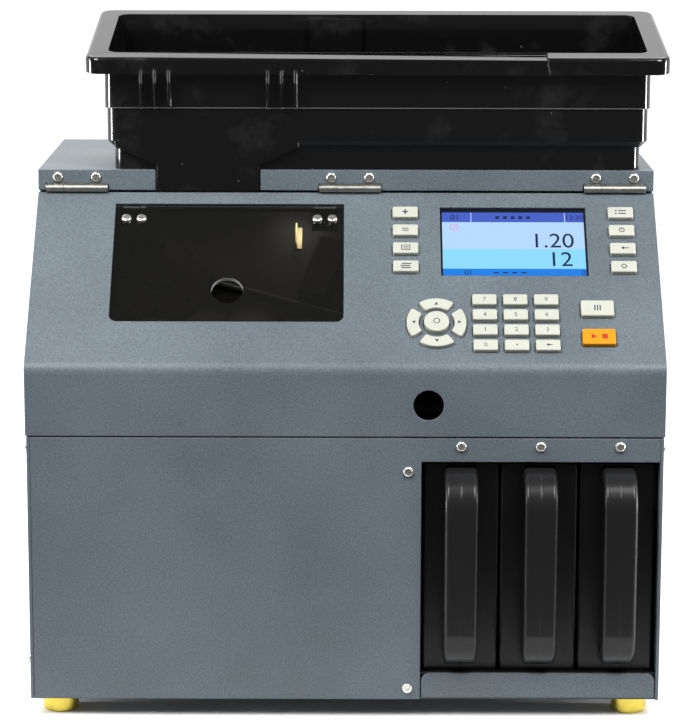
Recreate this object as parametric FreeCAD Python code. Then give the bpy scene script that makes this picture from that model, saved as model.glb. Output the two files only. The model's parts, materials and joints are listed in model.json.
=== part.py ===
import FreeCAD, Part
import math
import os

V = FreeCAD.Vector

# Coin sorting machine. Millimetres, X to the right, Y to the back, Z up.
# While it is drawn, X = 0 is the cabinet's middle, Y = 0 its front plane and Z = 0 its underside.

# Cabinet sheet metal
cabinet_width = 400.0
cabinet_depth = 276.0
sheet = 1.5
side_sheet = 2.0
flange = 12.0
seam = 0.3
bay_flange = 18.0
side_flange_gap = 1.0
foot_diameter = 24.0
foot_height = 13.0
foot_taper = 1.0
foot_rounding = 2.0
foot_inset_x = 17.0
foot_inset_y = 22.0

# Front, from the sill up to the lid's bend
sill_height = 17.3
sill_foot = 1.3
sill_corner = 5.0
sill_end_gap = 0.8
bay_height = 138.1
strip_height = 15.1
lid_gap = 1.0
lid_front = 43.8

# Lid
slope_angle = 43.0
slope_length = 141.2
bend_radius = 10.0
lid_overhang = 0.7
cheek_depth = 12.0
cheek_gap = 0.8
lid_hole_diameter = 19.2
lid_hole_height = 20.0
lid_hole_offset = 56.0

# Top cover and lid hinges
hinge_gap = 1.4
cover_flange = 13.3
hinge_length = 40.2
hinge_short_knuckle = 11.2
hinge_barrel = 5.0
hinge_pin = 2.5
hinge_fit = 0.05
hinge_leaf = 1.2
hinge_leaf_length = 6.0
hinge_side_gap = 0.4
hinge_stand = 1.5
hinge_rise = 1.6
hinge_inset = 24.6
hinge_window_lead = 4.5
hinge_screw_pitch = 24.8
hinge_screw_drop = 4.6

# Control panel: the display's middle, measured from the cabinet's right side and along the slope
control_inset = 91.75
control_height = 101.0
display_width = 94.4
display_height = 56.0
display_frame_x = 5.5
display_frame_y = 5.5
display_thickness = 4.0
display_back_inset = 12.0

# Keys
keypad_height = 34.25
key_clearance = 0.4
key_flange = 0.7
key_flange_thickness = 1.0
key_flange_gap = 0.3
key_travel = 1.2
key_stem = 4.0
key_edge = 0.7
key_corner = 1.2
key_rise = 3.0
side_key = (16.4, 8.8)
side_key_offset = 69.75
side_key_pitch = 14.77
number_key = (15.4, 8.2)
number_key_pitch_x = 19.55
number_key_pitch_y = 11.92
number_key_offset = -0.65
command_key = (20.9, 12.0)
command_key_offset = 51.1
command_key_pitch = 22.4
ring_offset = -50.75
ring_outer = 18.9
ring_inner = 11.3
ring_half_angle = 36.0
ring_rise = 2.6
centre_key = 15.8
centre_key_rise = 3.8

# Keypad board behind the keys
board_depth = 9.0
board_thickness = 1.6
board_margin = 4.0
switch_size = 6.0
stud_diameter = 4.0
stud_inset = 3.5

# Window flap
window_left_room = 50.9
window_right_room = 201.7
window_height = 94.6
window_foot = 36.5
window_thickness = 3.0
window_recess = 0.5
window_gap = 0.5
window_corner = 4.5
finger_hole = 20.5
finger_hole_height = 24.6
window_screw_first = 7.0
window_screw_pitch = 9.7
window_screw_drop = 12.0
window_pin = 1.6
window_knuckle = 7.0
window_lug = 3.5
window_leaf = 1.0
window_leaf_width = 17.0
window_leaf_length = 18.0
window_tab_width = 16.0
window_tab_reach = 4.0
window_tab_inset = 28.7
lug_reach = 7.0

# Coin boxes
box_count = 3
box_width = 49.2
box_gap = 0.6
box_side_gap = 0.8
box_back_room = 36.0
box_front = 8.0
box_wall = 2.0
box_corner = 3.0
box_clearance = 0.3
box_top_gap = 2.9
handle_width = 21.0
handle_thickness = 7.0
handle_reach = 26.0
handle_radius = 24.0
handle_top_inset = 1.5
handle_foot = 5.4
handle_edge = 3.0
divider_gap = 0.4

# Hopper
hopper_left_lead = 67.0
hopper_side_gap = 2.2
hopper_depth = 106.0
hopper_wall = 2.5
hopper_corner = 9.0
hopper_lead = 2.4
tier_step = 1.3
tier_foot_step = 4.4
tier_land = 0.44
tier_foot_height = 15.0
tier_middle_height = 25.4
rim_height = 74.2
rim_tilt = 9.7
rim_overhang = 11.3
rim_lip = 11.0
rim_plate = 4.0
rim_edge = 3.0
rim_slit_inset = 68.9
rim_sag = 1.5
rib_thickness = 1.6
rib_pitch = 9.0
rib_insets = (24.6, 106.4)
chute_lead = 14.6
chute_width = 66.5
chute_depth = 32.0
chute_drop = 30.0
chute_wall = 2.2
chute_gap = 1.0
floor_rise = 52.0
floor_side_rise = 15.0
floor_lift = 5.0
pilaster_inset = 131.4
pilaster_width = 36.0
pilaster_depth = 4.0
apron_drop = 11.5
apron_left = 27.0
apron_right = 26.0
rim_slit = 0.8

# Sorting deck and feed
deck_drop = 32.0
deck_thickness = 4.0
deck_low = -8.0
deck_high = 150.0
rail_drop = 85.86
rail_lead = 36.0
rail_start_height = 89.7
rail_width = 3.0
rail_height = 5.0
slot_length = 34.0
slot_width = 28.0
slot_lift = 2.0
disc_lead = 30.0
disc_height = 92.0
disc_diameter = 64.0
disc_thickness = 4.0
disc_gap = 0.5
disc_pegs = 8
peg_diameter = 4.0
peg_height = 2.5
peg_inset = 6.0
disc_hub = 22.0
disc_hub_height = 5.0
shaft_diameter = 8.0
shaft_fit = 0.05
shaft_depth = 14.0
bowl_wall = 2.5
bowl_height = 10.0
bowl_gap = 1.0
motor_diameter = 42.0
motor_length = 48.0
motor_flange = 50.0
motor_flange_thickness = 4.0

# Gates behind the deck
flap_gap = 1.4
flap_thickness = 2.0
flap_pivot = 4.0
flap_pivot_inset = 3.0
flap_fit = 0.05
flap_lug = 3.0
flap_tilt = 30.0
gate_motor_diameter = 20.0
gate_motor_length = 12.0
gate_motor_gap = 0.5

# Sensor over the rail
sensor_position = 56.0
sensor_length = 18.0
sensor_depth = 12.0
sensor_span = 34.0
sensor_opening = 6.0
bracket_width = 4.2
bracket_length = 17.6
bracket_height = 6.0
bracket_lead = 53.1
bracket_foot = 118.0

# Power
inlet_width = 30.0
inlet_height = 50.0
inlet_flange = 2.0
inlet_depth = 28.0
inlet_body_inset = 2.0
inlet_inset = 50.0
inlet_centre_height = 70.0
socket_width = 24.0
socket_height = 16.0
socket_depth = 17.0
socket_drop = 12.0
pin_size = (2.0, 4.0)
pin_length = 13.0
pin_pitch = 7.0
pin_raise = 2.0
rocker_width = 20.0
rocker_height = 13.0
rocker_raise = 14.0
rocker_depth = 8.0
rocker_gap = 1.0
rocker_angle = 8.0
rocker_pivot = 3.0
rocker_fit = 0.05
supply_size = (120.0, 80.0, 38.0)
supply_inset = (20.0, 30.0)
supply_vent = (2.0, 46.0)
supply_vents = 9
vent_length = 60.0
vent_width = 3.0
vent_pitch = 8.0
vent_count = 10
vent_height = 200.0
vent_offset = 20.0

# How far a cut runs past the face that it opens, and how near two places are that count as one
over = 1.0
near = 0.01

# Screws
screw_head = 6.5
screw_head_height = 2.2
screw_head_round = 1.4
screw_shank = 3.0
screw_length = 5.0
screw_fit = 0.1
cross_length = 3.2
cross_width = 0.8
cross_depth = 1.0
panel_screw_inset = 8.2
panel_screw_heights = (7.6, 149.2)
side_screw_inset = 7.5
side_screw_low = 25.0
side_screw_high = 163.0
rear_screw_drop = 8.0
rear_screw_inset = 50.0

# Places worked out from the sizes above
half_width = cabinet_width / 2
inner_half = half_width - side_sheet
bay_top = sill_height + bay_height
front_top = bay_top + strip_height
lid_edge = front_top + lid_gap
bend_z = lid_edge + lid_front
slope_cos = math.cos(math.radians(slope_angle))
slope_sin = math.sin(math.radians(slope_angle))
lid_top_y = slope_length * slope_cos
lid_top_z = bend_z + slope_length * slope_sin
cover_front = lid_top_y + seam
flange_bottom = lid_top_z + hinge_gap
cover_top = flange_bottom + cover_flange
hinge_y = cover_front - hinge_stand
hinge_z = flange_bottom + hinge_rise
window_width = cabinet_width - window_left_room - window_right_room
window_x = (window_left_room - window_right_room) / 2
hinge_middle = window_x + window_width / 2 + hinge_window_lead
hinge_centres = (-half_width + hinge_inset, hinge_middle, half_width - hinge_inset)
screw_z = cover_top - hinge_screw_drop
box_depth = cabinet_depth - box_back_room
box_pitch = box_width + box_gap
box_floor = sill_height + box_clearance
box_top = bay_top - box_top_gap
box_lefts = [inner_half - box_side_gap - box_width - k * box_pitch for k in reversed(range(box_count))]
bay_left = box_lefts[0] - divider_gap
control_x = half_width - control_inset
window_middle = window_foot + window_height / 2
window_top = window_foot + window_height
window_axis_s = window_top - window_thickness / 2
window_axis_n = -window_recess - window_thickness / 2
deck_top_n = -deck_drop
flap_pivot_drop = deck_thickness + flap_pivot / 2 + flap_gap / 2
gate_xs = [left + box_width / 2 for left in box_lefts]
chute_x = window_x - chute_lead
disc_x = chute_x - disc_lead
rail_x = disc_x + rail_lead
rail_angle = math.degrees(math.atan2(rail_drop, gate_xs[-1] - rail_x))
hopper_left = chute_x - hopper_left_lead
hopper_right = half_width - hopper_side_gap
hopper_width = hopper_right - hopper_left
hopper_x = (hopper_left + hopper_right) / 2
inlet_x = -half_width + inlet_inset
rear_screw_x = half_width - rear_screw_inset
hopper_front = cover_front - hopper_lead
tier_foot_top = cover_top + tier_foot_height
tier_middle_top = tier_foot_top + tier_middle_height
tongue_y = hopper_front + tier_step
rim_y = hopper_front - rim_overhang
rim_z = cover_top + rim_height
rim_cos = math.cos(math.radians(rim_tilt))
rim_sin = math.sin(math.radians(rim_tilt))
rim_length = (hopper_depth + 2 * rim_overhang) / rim_cos
rail_cos = math.cos(math.radians(rail_angle))
stem_bottom = -board_depth + switch_size / 4 + key_travel


def box(x0, x1, y0, y1, z0, z1):
    """A block between two corners."""
    return Part.makeBox(x1 - x0, y1 - y0, z1 - z0, V(x0, y0, z0))


def block(x, width, y, depth, z0, z1):
    """A block by its middle and its widths along X and Y, between two heights."""
    return box(x - width / 2, x + width / 2, y - depth / 2, y + depth / 2, z0, z1)


def upright_edges(shape):
    """Edges that run along Z."""
    return [e for e in shape.Edges if abs(e.tangentAt(e.FirstParameter).z) > 0.99]


def low_corners(plate):
    """Upright edges at the plate's lower end along Y."""
    low = plate.BoundBox.YMin + over
    return [e for e in upright_edges(plate) if e.Vertexes[0].Y < low]


def rounded_box(x0, x1, y0, y1, z0, z1, radius):
    """A block whose four upright edges are rounded."""
    plain = box(x0, x1, y0, y1, z0, z1)
    return plain.makeFillet(radius, upright_edges(plain))


def cylinder(diameter, start, direction, length):
    """A round bar from a point along a direction."""
    return Part.makeCylinder(diameter / 2, length, start, direction)


def fuse(shapes):
    """One solid from pieces that meet."""
    return shapes[0].multiFuse(shapes[1:]).removeSplitter()


def placed(shape, placement):
    """A copy of a shape carried by a placement."""
    copy = shape.copy()
    copy.Placement = placement.multiply(copy.Placement)
    return copy


def on_slope(shape):
    """From the lid's own axes (X, up the slope, outwards) to the cabinet's."""
    turn = FreeCAD.Rotation(V(1, 0, 0), slope_angle)
    return placed(shape, FreeCAD.Placement(V(0, 0, bend_z), turn))


def on_deck(shape):
    """From the deck's axes, which are the lid's with the deck's top face at zero."""
    return on_slope(placed(shape, FreeCAD.Placement(V(0, 0, deck_top_n), FreeCAD.Rotation())))


def on_rail(shape):
    """From the coin rail's axes (down the rail, across it, outwards) to the cabinet's."""
    turn = FreeCAD.Rotation(V(0, 0, 1), -rail_angle)
    return on_deck(placed(shape, FreeCAD.Placement(V(rail_x, rail_start_height, 0), turn)))


def on_rim(shape):
    """From the hopper rim's tilted axes to the cabinet's."""
    turn = FreeCAD.Rotation(V(1, 0, 0), rim_tilt)
    return placed(shape, FreeCAD.Placement(V(hopper_x, rim_y, rim_z), turn))


def lid_path(offset):
    """The lid's section that far in from its outer face: two lines and, outside the bend's centre, an arc."""
    turn = math.radians(90 - slope_angle)
    bend = bend_radius - offset
    low = V(0, offset, lid_edge)
    top = V(0, lid_top_y + offset * slope_sin, lid_top_z - offset * slope_cos)
    if bend <= seam:
        corner = V(0, offset, bend_z - offset * math.tan(turn / 2))
        return [Part.LineSegment(low, corner).toShape(), Part.LineSegment(corner, top).toShape()]
    reach = bend_radius * math.tan(turn / 2)
    centre = V(0, bend_radius, bend_z - reach)
    first = centre + V(0, -bend, 0)
    middle = centre + V(0, -math.cos(turn / 2), math.sin(turn / 2)) * bend
    last = centre + V(0, -slope_sin, slope_cos) * bend
    return [
        Part.LineSegment(low, first).toShape(),
        Part.Arc(first, middle, last).toShape(),
        Part.LineSegment(last, top).toShape(),
    ]


def lid_band(outer, inner, x0, x1):
    """The lid's section between two depths, drawn out along X."""
    skin = lid_path(outer)
    back = lid_path(inner)
    ends = [
        Part.LineSegment(skin[0].Vertexes[0].Point, back[0].Vertexes[0].Point).toShape(),
        Part.LineSegment(skin[-1].Vertexes[-1].Point, back[-1].Vertexes[-1].Point).toShape(),
    ]
    wire = Part.Wire(Part.__sortEdges__(skin + back + ends))
    face = Part.Face(wire)
    face.translate(V(x0, 0, 0))
    return face.extrude(V(x1 - x0, 0, 0))


def profile(points, x0, x1):
    """A closed outline of (Y, Z) points drawn out along X."""
    corners = [V(x0, y, z) for y, z in points]
    return Part.Face(Part.makePolygon(corners + corners[:1])).extrude(V(x1 - x0, 0, 0))


def pan_head():
    """A pan head screw along +Z, its seat at zero, with a cross recess."""
    head = Part.makeCylinder(screw_head / 2, screw_head_height)
    crown = [e for e in head.Edges if min(v.Z for v in e.Vertexes) > screw_head_height - near]
    head = head.makeFillet(screw_head_round, crown)
    base = screw_head_height - cross_depth
    slot = block(0, cross_length, 0, cross_width, base, screw_head_height + over)
    across = block(0, cross_width, 0, cross_length, base, screw_head_height + over)
    shank = cylinder(screw_shank, V(0, 0, -screw_length), V(0, 0, 1), screw_length)
    return fuse([head, shank]).cut(slot.fuse(across))


def screw_places():
    """Seat and outward direction of each screw in the cabinet."""
    places = []
    for centre in hinge_centres:
        for side in (-0.5, 0.5):
            places.append((V(centre + side * hinge_screw_pitch, cover_front, screw_z), V(0, -1, 0)))
    for z in panel_screw_heights:
        places.append((V(bay_left - panel_screw_inset, 0, z), V(0, -1, 0)))
    for left in box_lefts:
        places.append((V(left + box_width / 2, 0, front_top - strip_height / 3), V(0, -1, 0)))
    for side in (-1, 1):
        back = cabinet_depth - side_screw_inset
        spots = [(side_screw_inset, side_screw_high), (back, side_screw_low), (back, side_screw_high)]
        if side < 0:
            spots.append((side_screw_inset, side_screw_low))
        for y, z in spots:
            places.append((V(side * half_width, y, z), V(side, 0, 0)))
        for z in (flange / 2, cover_top - sheet - rear_screw_drop):
            places.append((V(side * rear_screw_x, cabinet_depth, z), V(0, 1, 0)))
    return places


def aimed(shape, seat, direction):
    """A shape drawn along +Z, moved to a seat and turned to a direction."""
    return placed(shape, FreeCAD.Placement(seat, FreeCAD.Rotation(V(0, 0, 1), direction)))


def drilled(shape):
    """A sheet piece with the screw holes through it."""
    length = screw_length + screw_fit
    hole = cylinder(screw_shank + 2 * screw_fit, V(0, 0, -length), V(0, 0, 1), length)
    return shape.cut([aimed(hole, seat, direction) for seat, direction in screw_places()])


def case_screws():
    """All screws in the cabinet's outside."""
    screw = pan_head()
    return Part.makeCompound([aimed(screw, seat, direction) for seat, direction in screw_places()])


def base_pan():
    """Bottom sheet with upturned flanges on its four sides."""
    x = inner_half
    back = cabinet_depth - sheet
    front_end = bay_left - bay_flange
    pieces = [
        box(-x, x, sheet, back, 0, sheet),
        box(-x, -x + sheet, sheet, back, 0, flange),
        box(x - sheet, x, 2 * sheet, back, 0, flange),
        box(-x, front_end, sheet, 2 * sheet, 0, flange),
        box(-x, x, back - sheet, back, 0, flange),
    ]
    return drilled(fuse(pieces))


def side_panel(side):
    """Side sheet whose edge follows the lid and the cover."""
    under = sheet + seam
    line = lid_path(under)
    bend_low = line[0].Vertexes[-1].Point
    bend_high = line[2].Vertexes[0].Point
    top = line[2].Vertexes[-1].Point
    roof = cover_top - sheet
    points = [
        (0, 0),
        (cabinet_depth, 0),
        (cabinet_depth, roof),
        (cover_front + sheet + seam, roof),
        (cover_front + sheet + seam, top.z),
        (top.y, top.z),
        (bend_high.y, bend_high.z),
        (bend_low.y, bend_low.z),
        (under, lid_edge - lid_gap),
        (0, lid_edge - lid_gap),
    ]
    tab = [
        V(0, bend_low.y, bend_low.z),
        V(0, bend_high.y, bend_high.z),
    ]
    wedge = Part.Face(Part.Wire([line[1], Part.LineSegment(tab[1], tab[0]).toShape()]))
    x0, x1 = sorted((side * inner_half, side * half_width))
    wedge.translate(V(x0, 0, 0))
    plate = profile(points, x0, x1).fuse(wedge.extrude(V(x1 - x0, 0, 0))).removeSplitter()
    return drilled(plate)


def front_panel():
    """L-shaped front sheet: a tall panel on the left and a strip over the bay."""
    x = inner_half - seam
    pieces = [
        box(-x, bay_left, 0, sheet, 0, front_top),
        box(bay_left, x, 0, sheet, bay_top, front_top),
        box(-x, bay_left - bay_flange, 0, flange, front_top - sheet, front_top),
        box(-x, -x + sheet, 0, flange, flange + side_flange_gap, front_top),
        box(x - sheet, x, 0, flange, bay_top, front_top),
    ]
    return drilled(fuse(pieces))


def rear_panel():
    """Back sheet with vents and the inlet's cut-out."""
    x = inner_half - seam
    y = cabinet_depth
    low = flange + side_flange_gap
    high = cover_top - sheet - flange - side_flange_gap
    plate = fuse([
        box(-x, x, y - sheet, y, 0, cover_top - sheet),
        box(-x, -x + sheet, y - flange, y, low, high),
        box(x - sheet, x, y - flange, y, low, high),
    ])
    cuts = []
    for k in range(vent_count):
        z = vent_height + k * vent_pitch
        for start in (vent_offset, -vent_offset - vent_length):
            cuts.append(box(start, start + vent_length, y - 2 * sheet, y + sheet, z, z + vent_width))
    wide = inlet_width - 2 * inlet_body_inset + 2 * seam
    tall = inlet_height - 2 * inlet_body_inset + 2 * seam
    cuts.append(upright(inlet_x, wide, inlet_centre_height, tall, y - 2 * sheet, y + sheet))
    return drilled(plate.cut(cuts))


def hinge_window(centre):
    """The space that one hinge barrel takes out of the cover's flange."""
    width = hinge_length + 2 * hinge_side_gap
    top = hinge_z + hinge_barrel / 2 + hinge_side_gap
    return block(centre, width, cover_front, 4 * sheet, flange_bottom - over, top)


def top_cover():
    """Roof sheet with a front flange, a rear flange and the notch for the hopper's outlet."""
    x = half_width + lid_overhang
    back = cabinet_depth - sheet
    inside = inner_half - seam
    roof = cover_top - sheet
    notch = chute_width + 2 * chute_gap
    notch_depth = 2 * (tongue_y + chute_depth + chute_gap - cover_front)
    pieces = [
        box(-x, x, cover_front, cabinet_depth, roof, cover_top),
        box(-x, x, cover_front, cover_front + sheet, flange_bottom, cover_top),
        box(-inside, inside, back - sheet, back, roof - flange, cover_top),
    ]
    cuts = [hinge_window(centre) for centre in hinge_centres]
    cuts.append(block(chute_x, notch, cover_front, notch_depth, flange_bottom - over, cover_top + over))
    return drilled(fuse(pieces).cut(cuts))


def knuckle(x0, x1):
    """One rolled hinge knuckle on the lid's axis."""
    return cylinder(hinge_barrel, V(x0, hinge_y, hinge_z), V(1, 0, 0), x1 - x0)


def hinge_bore(x0, x1):
    """The pin's running hole between two places along X."""
    return cylinder(hinge_pin + 2 * hinge_fit, V(x0, hinge_y, hinge_z), V(1, 0, 0), x1 - x0)


def hinge_fixed_leaves():
    """Leaves behind the cover's flange, each with a short knuckle and the pin riveted in it."""
    solids = []
    back = cover_front + sheet
    web_z = hinge_z - hinge_leaf / 2
    for centre in hinge_centres:
        x0 = centre - hinge_length / 2
        x1 = x0 + hinge_short_knuckle
        pin_end = x0 + hinge_length
        web = box(x0, x1, hinge_y, back + hinge_leaf, web_z, web_z + hinge_leaf)
        leaf = box(x0, pin_end, back, back + hinge_leaf, web_z, cover_top - sheet)
        pin = cylinder(hinge_pin, V(x0, hinge_y, hinge_z), V(1, 0, 0), hinge_length)
        solids.append(drilled(fuse([knuckle(x0, x1), web, leaf, pin])))
    return Part.makeCompound(solids)


def hinge_lid_leaves():
    """Leaves under the lid, each with the long knuckle that turns on the pin."""
    solids = []
    axis = FreeCAD.Rotation(V(1, 0, 0), -slope_angle).multVec(V(0, hinge_y, hinge_z - bend_z))
    for centre in hinge_centres:
        x0 = centre - hinge_length / 2 + hinge_short_knuckle + hinge_side_gap
        x1 = centre + hinge_length / 2
        web = box(x0, x1, axis.y, axis.y + hinge_leaf, -sheet - hinge_leaf, axis.z)
        leaf = box(x0, x1, slope_length - hinge_leaf_length, axis.y + hinge_leaf, -sheet - hinge_leaf, -sheet)
        solid = fuse([knuckle(x0, x1), on_slope(web), on_slope(leaf)])
        solids.append(solid.cut(hinge_bore(x0 - over, x1 + over)))
    return Part.makeCompound(solids)


def key_outline(size, grow, low, high):
    """A rectangular key's outline, grown all round, between two heights."""
    x = size[0] / 2 + grow
    y = size[1] / 2 + grow
    return rounded_box(-x, x, -y, y, low, high, key_corner + grow)


def sector_outline(angle, grow, low, high):
    """One of the four arrow keys: a ring sector about an angle."""
    height = high - low
    outer = Part.makeCylinder(ring_outer + grow, height, V(0, 0, low))
    inner = Part.makeCylinder(ring_inner - grow, height, V(0, 0, low))
    half = math.radians(ring_half_angle)
    reach = 2 * ring_outer
    spread = grow / math.cos(half)
    corners = [
        V(0, 0, low),
        V(reach * math.cos(half), reach * math.sin(half) + spread, low),
        V(reach * math.cos(half), -reach * math.sin(half) - spread, low),
    ]
    wedge = Part.Face(Part.makePolygon(corners + corners[:1])).extrude(V(0, 0, height))
    sector = outer.cut(inner).common(wedge)
    sector = sector.makeFillet(key_corner, upright_edges(sector))
    sector.rotate(V(0, 0, 0), V(0, 0, 1), angle)
    return sector


def round_outline(diameter, grow, low, high):
    """The round key's outline, grown all round."""
    return Part.makeCylinder(diameter / 2 + grow, high - low, V(0, 0, low))


def key_table():
    """Name, place on the slope, rise, outline and stem offset of each key."""
    keys = []
    for row in range(4):
        s = control_height + (1.5 - row) * side_key_pitch
        for word, side in (("left", -1), ("right", 1)):
            x = control_x + side * side_key_offset
            shape = (key_outline, side_key)
            keys.append((f"key_{word}_{row + 1}", x, s, key_rise, shape, V(0, 0, 0)))
    legends = (("7", "8", "9"), ("4", "5", "6"), ("1", "2", "3"), ("0", "point", "back"))
    for row, names in enumerate(legends):
        s = keypad_height + (1.5 - row) * number_key_pitch_y
        for column, name in enumerate(names):
            x = control_x + number_key_offset + (column - 1) * number_key_pitch_x
            keys.append((f"key_{name}", x, s, key_rise, (key_outline, number_key), V(0, 0, 0)))
    for name, side in (("clear", 0.5), ("start", -0.5)):
        s = keypad_height + side * command_key_pitch
        shape = (key_outline, command_key)
        keys.append((f"key_{name}", control_x + command_key_offset, s, key_rise, shape, V(0, 0, 0)))
    ring_x = control_x + ring_offset
    middle = (ring_outer + ring_inner) / 2
    for turn, name in enumerate(("right", "up", "left", "down")):
        angle = 90.0 * turn
        stem = V(middle * math.cos(math.radians(angle)), middle * math.sin(math.radians(angle)), 0)
        keys.append((f"arrow_{name}", ring_x, keypad_height, ring_rise, (sector_outline, angle), stem))
    shape = (round_outline, centre_key)
    keys.append(("key_centre", ring_x, keypad_height, centre_key_rise, shape, V(0, 0, 0)))
    return keys


def key_solid(rise, shape, stem):
    """Cap with softened top edges, a flange that keeps it in the lid and a stem down to its switch."""
    outline, size = shape
    top = -sheet - key_flange_gap
    cap = outline(size, 0, top - key_flange_thickness, rise)
    crown = [e for e in cap.Edges if min(v.Z for v in e.Vertexes) > rise - near]
    cap = cap.makeFillet(key_edge, crown)
    skirt = outline(size, key_flange, top - key_flange_thickness, top)
    foot = cylinder(key_stem, V(stem.x, stem.y, stem_bottom), V(0, 0, 1), top - stem_bottom)
    return fuse([cap, skirt, foot])


def key_nodes():
    """Every key in its place on the lid."""
    nodes = {}
    for name, x, s, rise, shape, stem in key_table():
        solid = placed(key_solid(rise, shape, stem), FreeCAD.Placement(V(x, s, 0), FreeCAD.Rotation()))
        nodes[name] = on_slope(solid)
    return nodes


def board_extent():
    """Left, right, low and high edges of the keypad board on the slope."""
    reach = side_key_offset + side_key[0] / 2 + key_flange + board_margin
    low = keypad_height - 1.5 * number_key_pitch_y - number_key[1] / 2 - board_margin
    high = control_height + display_height / 2 + display_frame_y
    return control_x - reach, control_x + reach, low, high


def stud_places():
    """Where the lid's welded studs carry the keypad board."""
    left, right, low, high = board_extent()
    middle = (keypad_height + control_height) / 2
    xs = (left + stud_inset, right - stud_inset)
    return [(x, s) for x in xs for s in (low + stud_inset, middle, high - stud_inset)]


def lid():
    """Folded sheet with the front, the slope, two cheeks, all its openings and the studs behind."""
    edge = half_width + lid_overhang
    cheek = inner_half - cheek_gap
    pieces = [
        lid_band(0, sheet, -edge, edge),
        lid_band(sheet, cheek_depth, -cheek, -cheek + sheet),
        lid_band(sheet, cheek_depth, cheek - sheet, cheek),
        box(-cheek, cheek, 0, flange, lid_edge, lid_edge + sheet),
    ]
    for x, s in stud_places():
        length = board_depth - sheet
        pieces.append(on_slope(cylinder(stud_diameter, V(x, s, -board_depth), V(0, 0, 1), length)))
    pieces += [on_slope(tab) for tab in window_tabs()]
    cuts = [on_slope(opening) for opening in lid_openings()]
    front_hole = V(control_x - lid_hole_offset, -over, lid_edge + lid_hole_height)
    cuts.append(cylinder(lid_hole_diameter, front_hole, V(0, 1, 0), sheet + 2 * over))
    return fuse(pieces).cut(cuts)


def window_tabs():
    """Folded tabs under the window's lower edge, on which it rests."""
    tabs = []
    back = -window_recess - window_thickness
    for side in (-1, 1):
        x0 = window_x + side * (window_width / 2 - window_tab_inset) - window_tab_width / 2
        x1 = x0 + window_tab_width
        low = window_foot - window_tab_reach
        riser = box(x0, x1, low, low + sheet, back - sheet, -sheet)
        rest = box(x0, x1, low, window_foot + window_tab_reach, back - sheet, back)
        tabs.append(fuse([riser, rest]))
    return tabs


def lid_openings():
    """Everything cut through the lid's slope."""
    deep = -2 * sheet
    cuts = []
    wide = window_width + 2 * window_gap
    tall = window_height + 2 * window_gap
    opening = block(window_x, wide, window_middle, tall, -sheet, over)
    cuts.append(opening.makeFillet(window_corner + window_gap, low_corners(opening)))
    cuts.append(block(control_x, display_width, control_height, display_height, -sheet, over))
    for _, key_x, s, _, shape, _ in key_table():
        outline, size = shape
        hole = outline(size, key_clearance, deep, over)
        cuts.append(placed(hole, FreeCAD.Placement(V(key_x, s, 0), FreeCAD.Rotation())))
    return cuts


def display_module():
    """Display glass and frame against the lid, with the drive block that reaches the keypad board."""
    x = display_width / 2 + display_frame_x
    y = display_height / 2 + display_frame_y
    frame = box(-x, x, -y, y, -sheet - display_thickness, -sheet)
    back = box(-x, x, -y, y, -board_depth, -sheet - display_thickness)
    trim = display_back_inset
    block = back.common(box(-x + trim, x - trim, -y + trim, y - trim, -board_depth, -sheet))
    module = fuse([frame, block])
    return on_slope(placed(module, FreeCAD.Placement(V(control_x, control_height, 0), FreeCAD.Rotation())))


def keypad_board():
    """Circuit board with one switch under each key."""
    left, right, low, high = board_extent()
    top = -board_depth
    pieces = [box(left, right, low, high, top - board_thickness, top)]
    for _, x, s, _, _, stem in key_table():
        height = switch_size / 4
        pieces.append(block(x + stem.x, switch_size, s + stem.y, switch_size, top, top + height))
    return on_slope(fuse(pieces))


def window_hinge_middles():
    """Middle of each window hinge along X."""
    reach = window_width / 2 - window_screw_first - window_screw_pitch / 2
    return (window_x - reach, window_x + reach)


def window_notch(middle):
    """The space that one hinge takes out of the window's upper edge."""
    half = window_knuckle / 2 + window_lug + 2 * seam
    low = window_axis_s - window_thickness / 2 - seam
    back = window_axis_n - window_thickness
    return box(middle - half, middle + half, low, window_top + over, back, over)


def window():
    """Acrylic flap with a round upper edge, hinge notches, screw holes and a finger hole."""
    back = -window_recess - window_thickness
    x0 = window_x - window_width / 2
    plate = box(x0, x0 + window_width, window_foot, window_axis_s, back, -window_recess)
    plate = plate.makeFillet(window_corner, low_corners(plate))
    edge = cylinder(window_thickness, V(x0, window_axis_s, window_axis_n), V(1, 0, 0), window_width)
    hole_place = V(window_x, window_foot + finger_hole_height, back - over)
    cuts = [cylinder(finger_hole, hole_place, V(0, 0, 1), window_thickness + 2 * over)]
    cuts += [window_notch(middle) for middle in window_hinge_middles()]
    cuts += [screw_hole(x) for x in window_screw_xs()]
    return on_slope(fuse([plate, edge]).cut(cuts))


def window_screw_xs():
    """Places of the window's four screws along X."""
    half = window_screw_pitch / 2
    return [middle + side * half for middle in window_hinge_middles() for side in (-1, 1)]


def screw_hole(x):
    """A clearance hole for one window screw."""
    depth = screw_length + window_recess + over
    start = V(x, window_top - window_screw_drop, -depth)
    return cylinder(screw_shank + 2 * screw_fit, start, V(0, 0, 1), depth)


def window_screws():
    """Four pan head screws that hold the leaves to the window."""
    screw = pan_head()
    seats = [V(x, window_top - window_screw_drop, -window_recess) for x in window_screw_xs()]
    return Part.makeCompound([on_slope(aimed(screw, seat, V(0, 0, 1))) for seat in seats])


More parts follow.
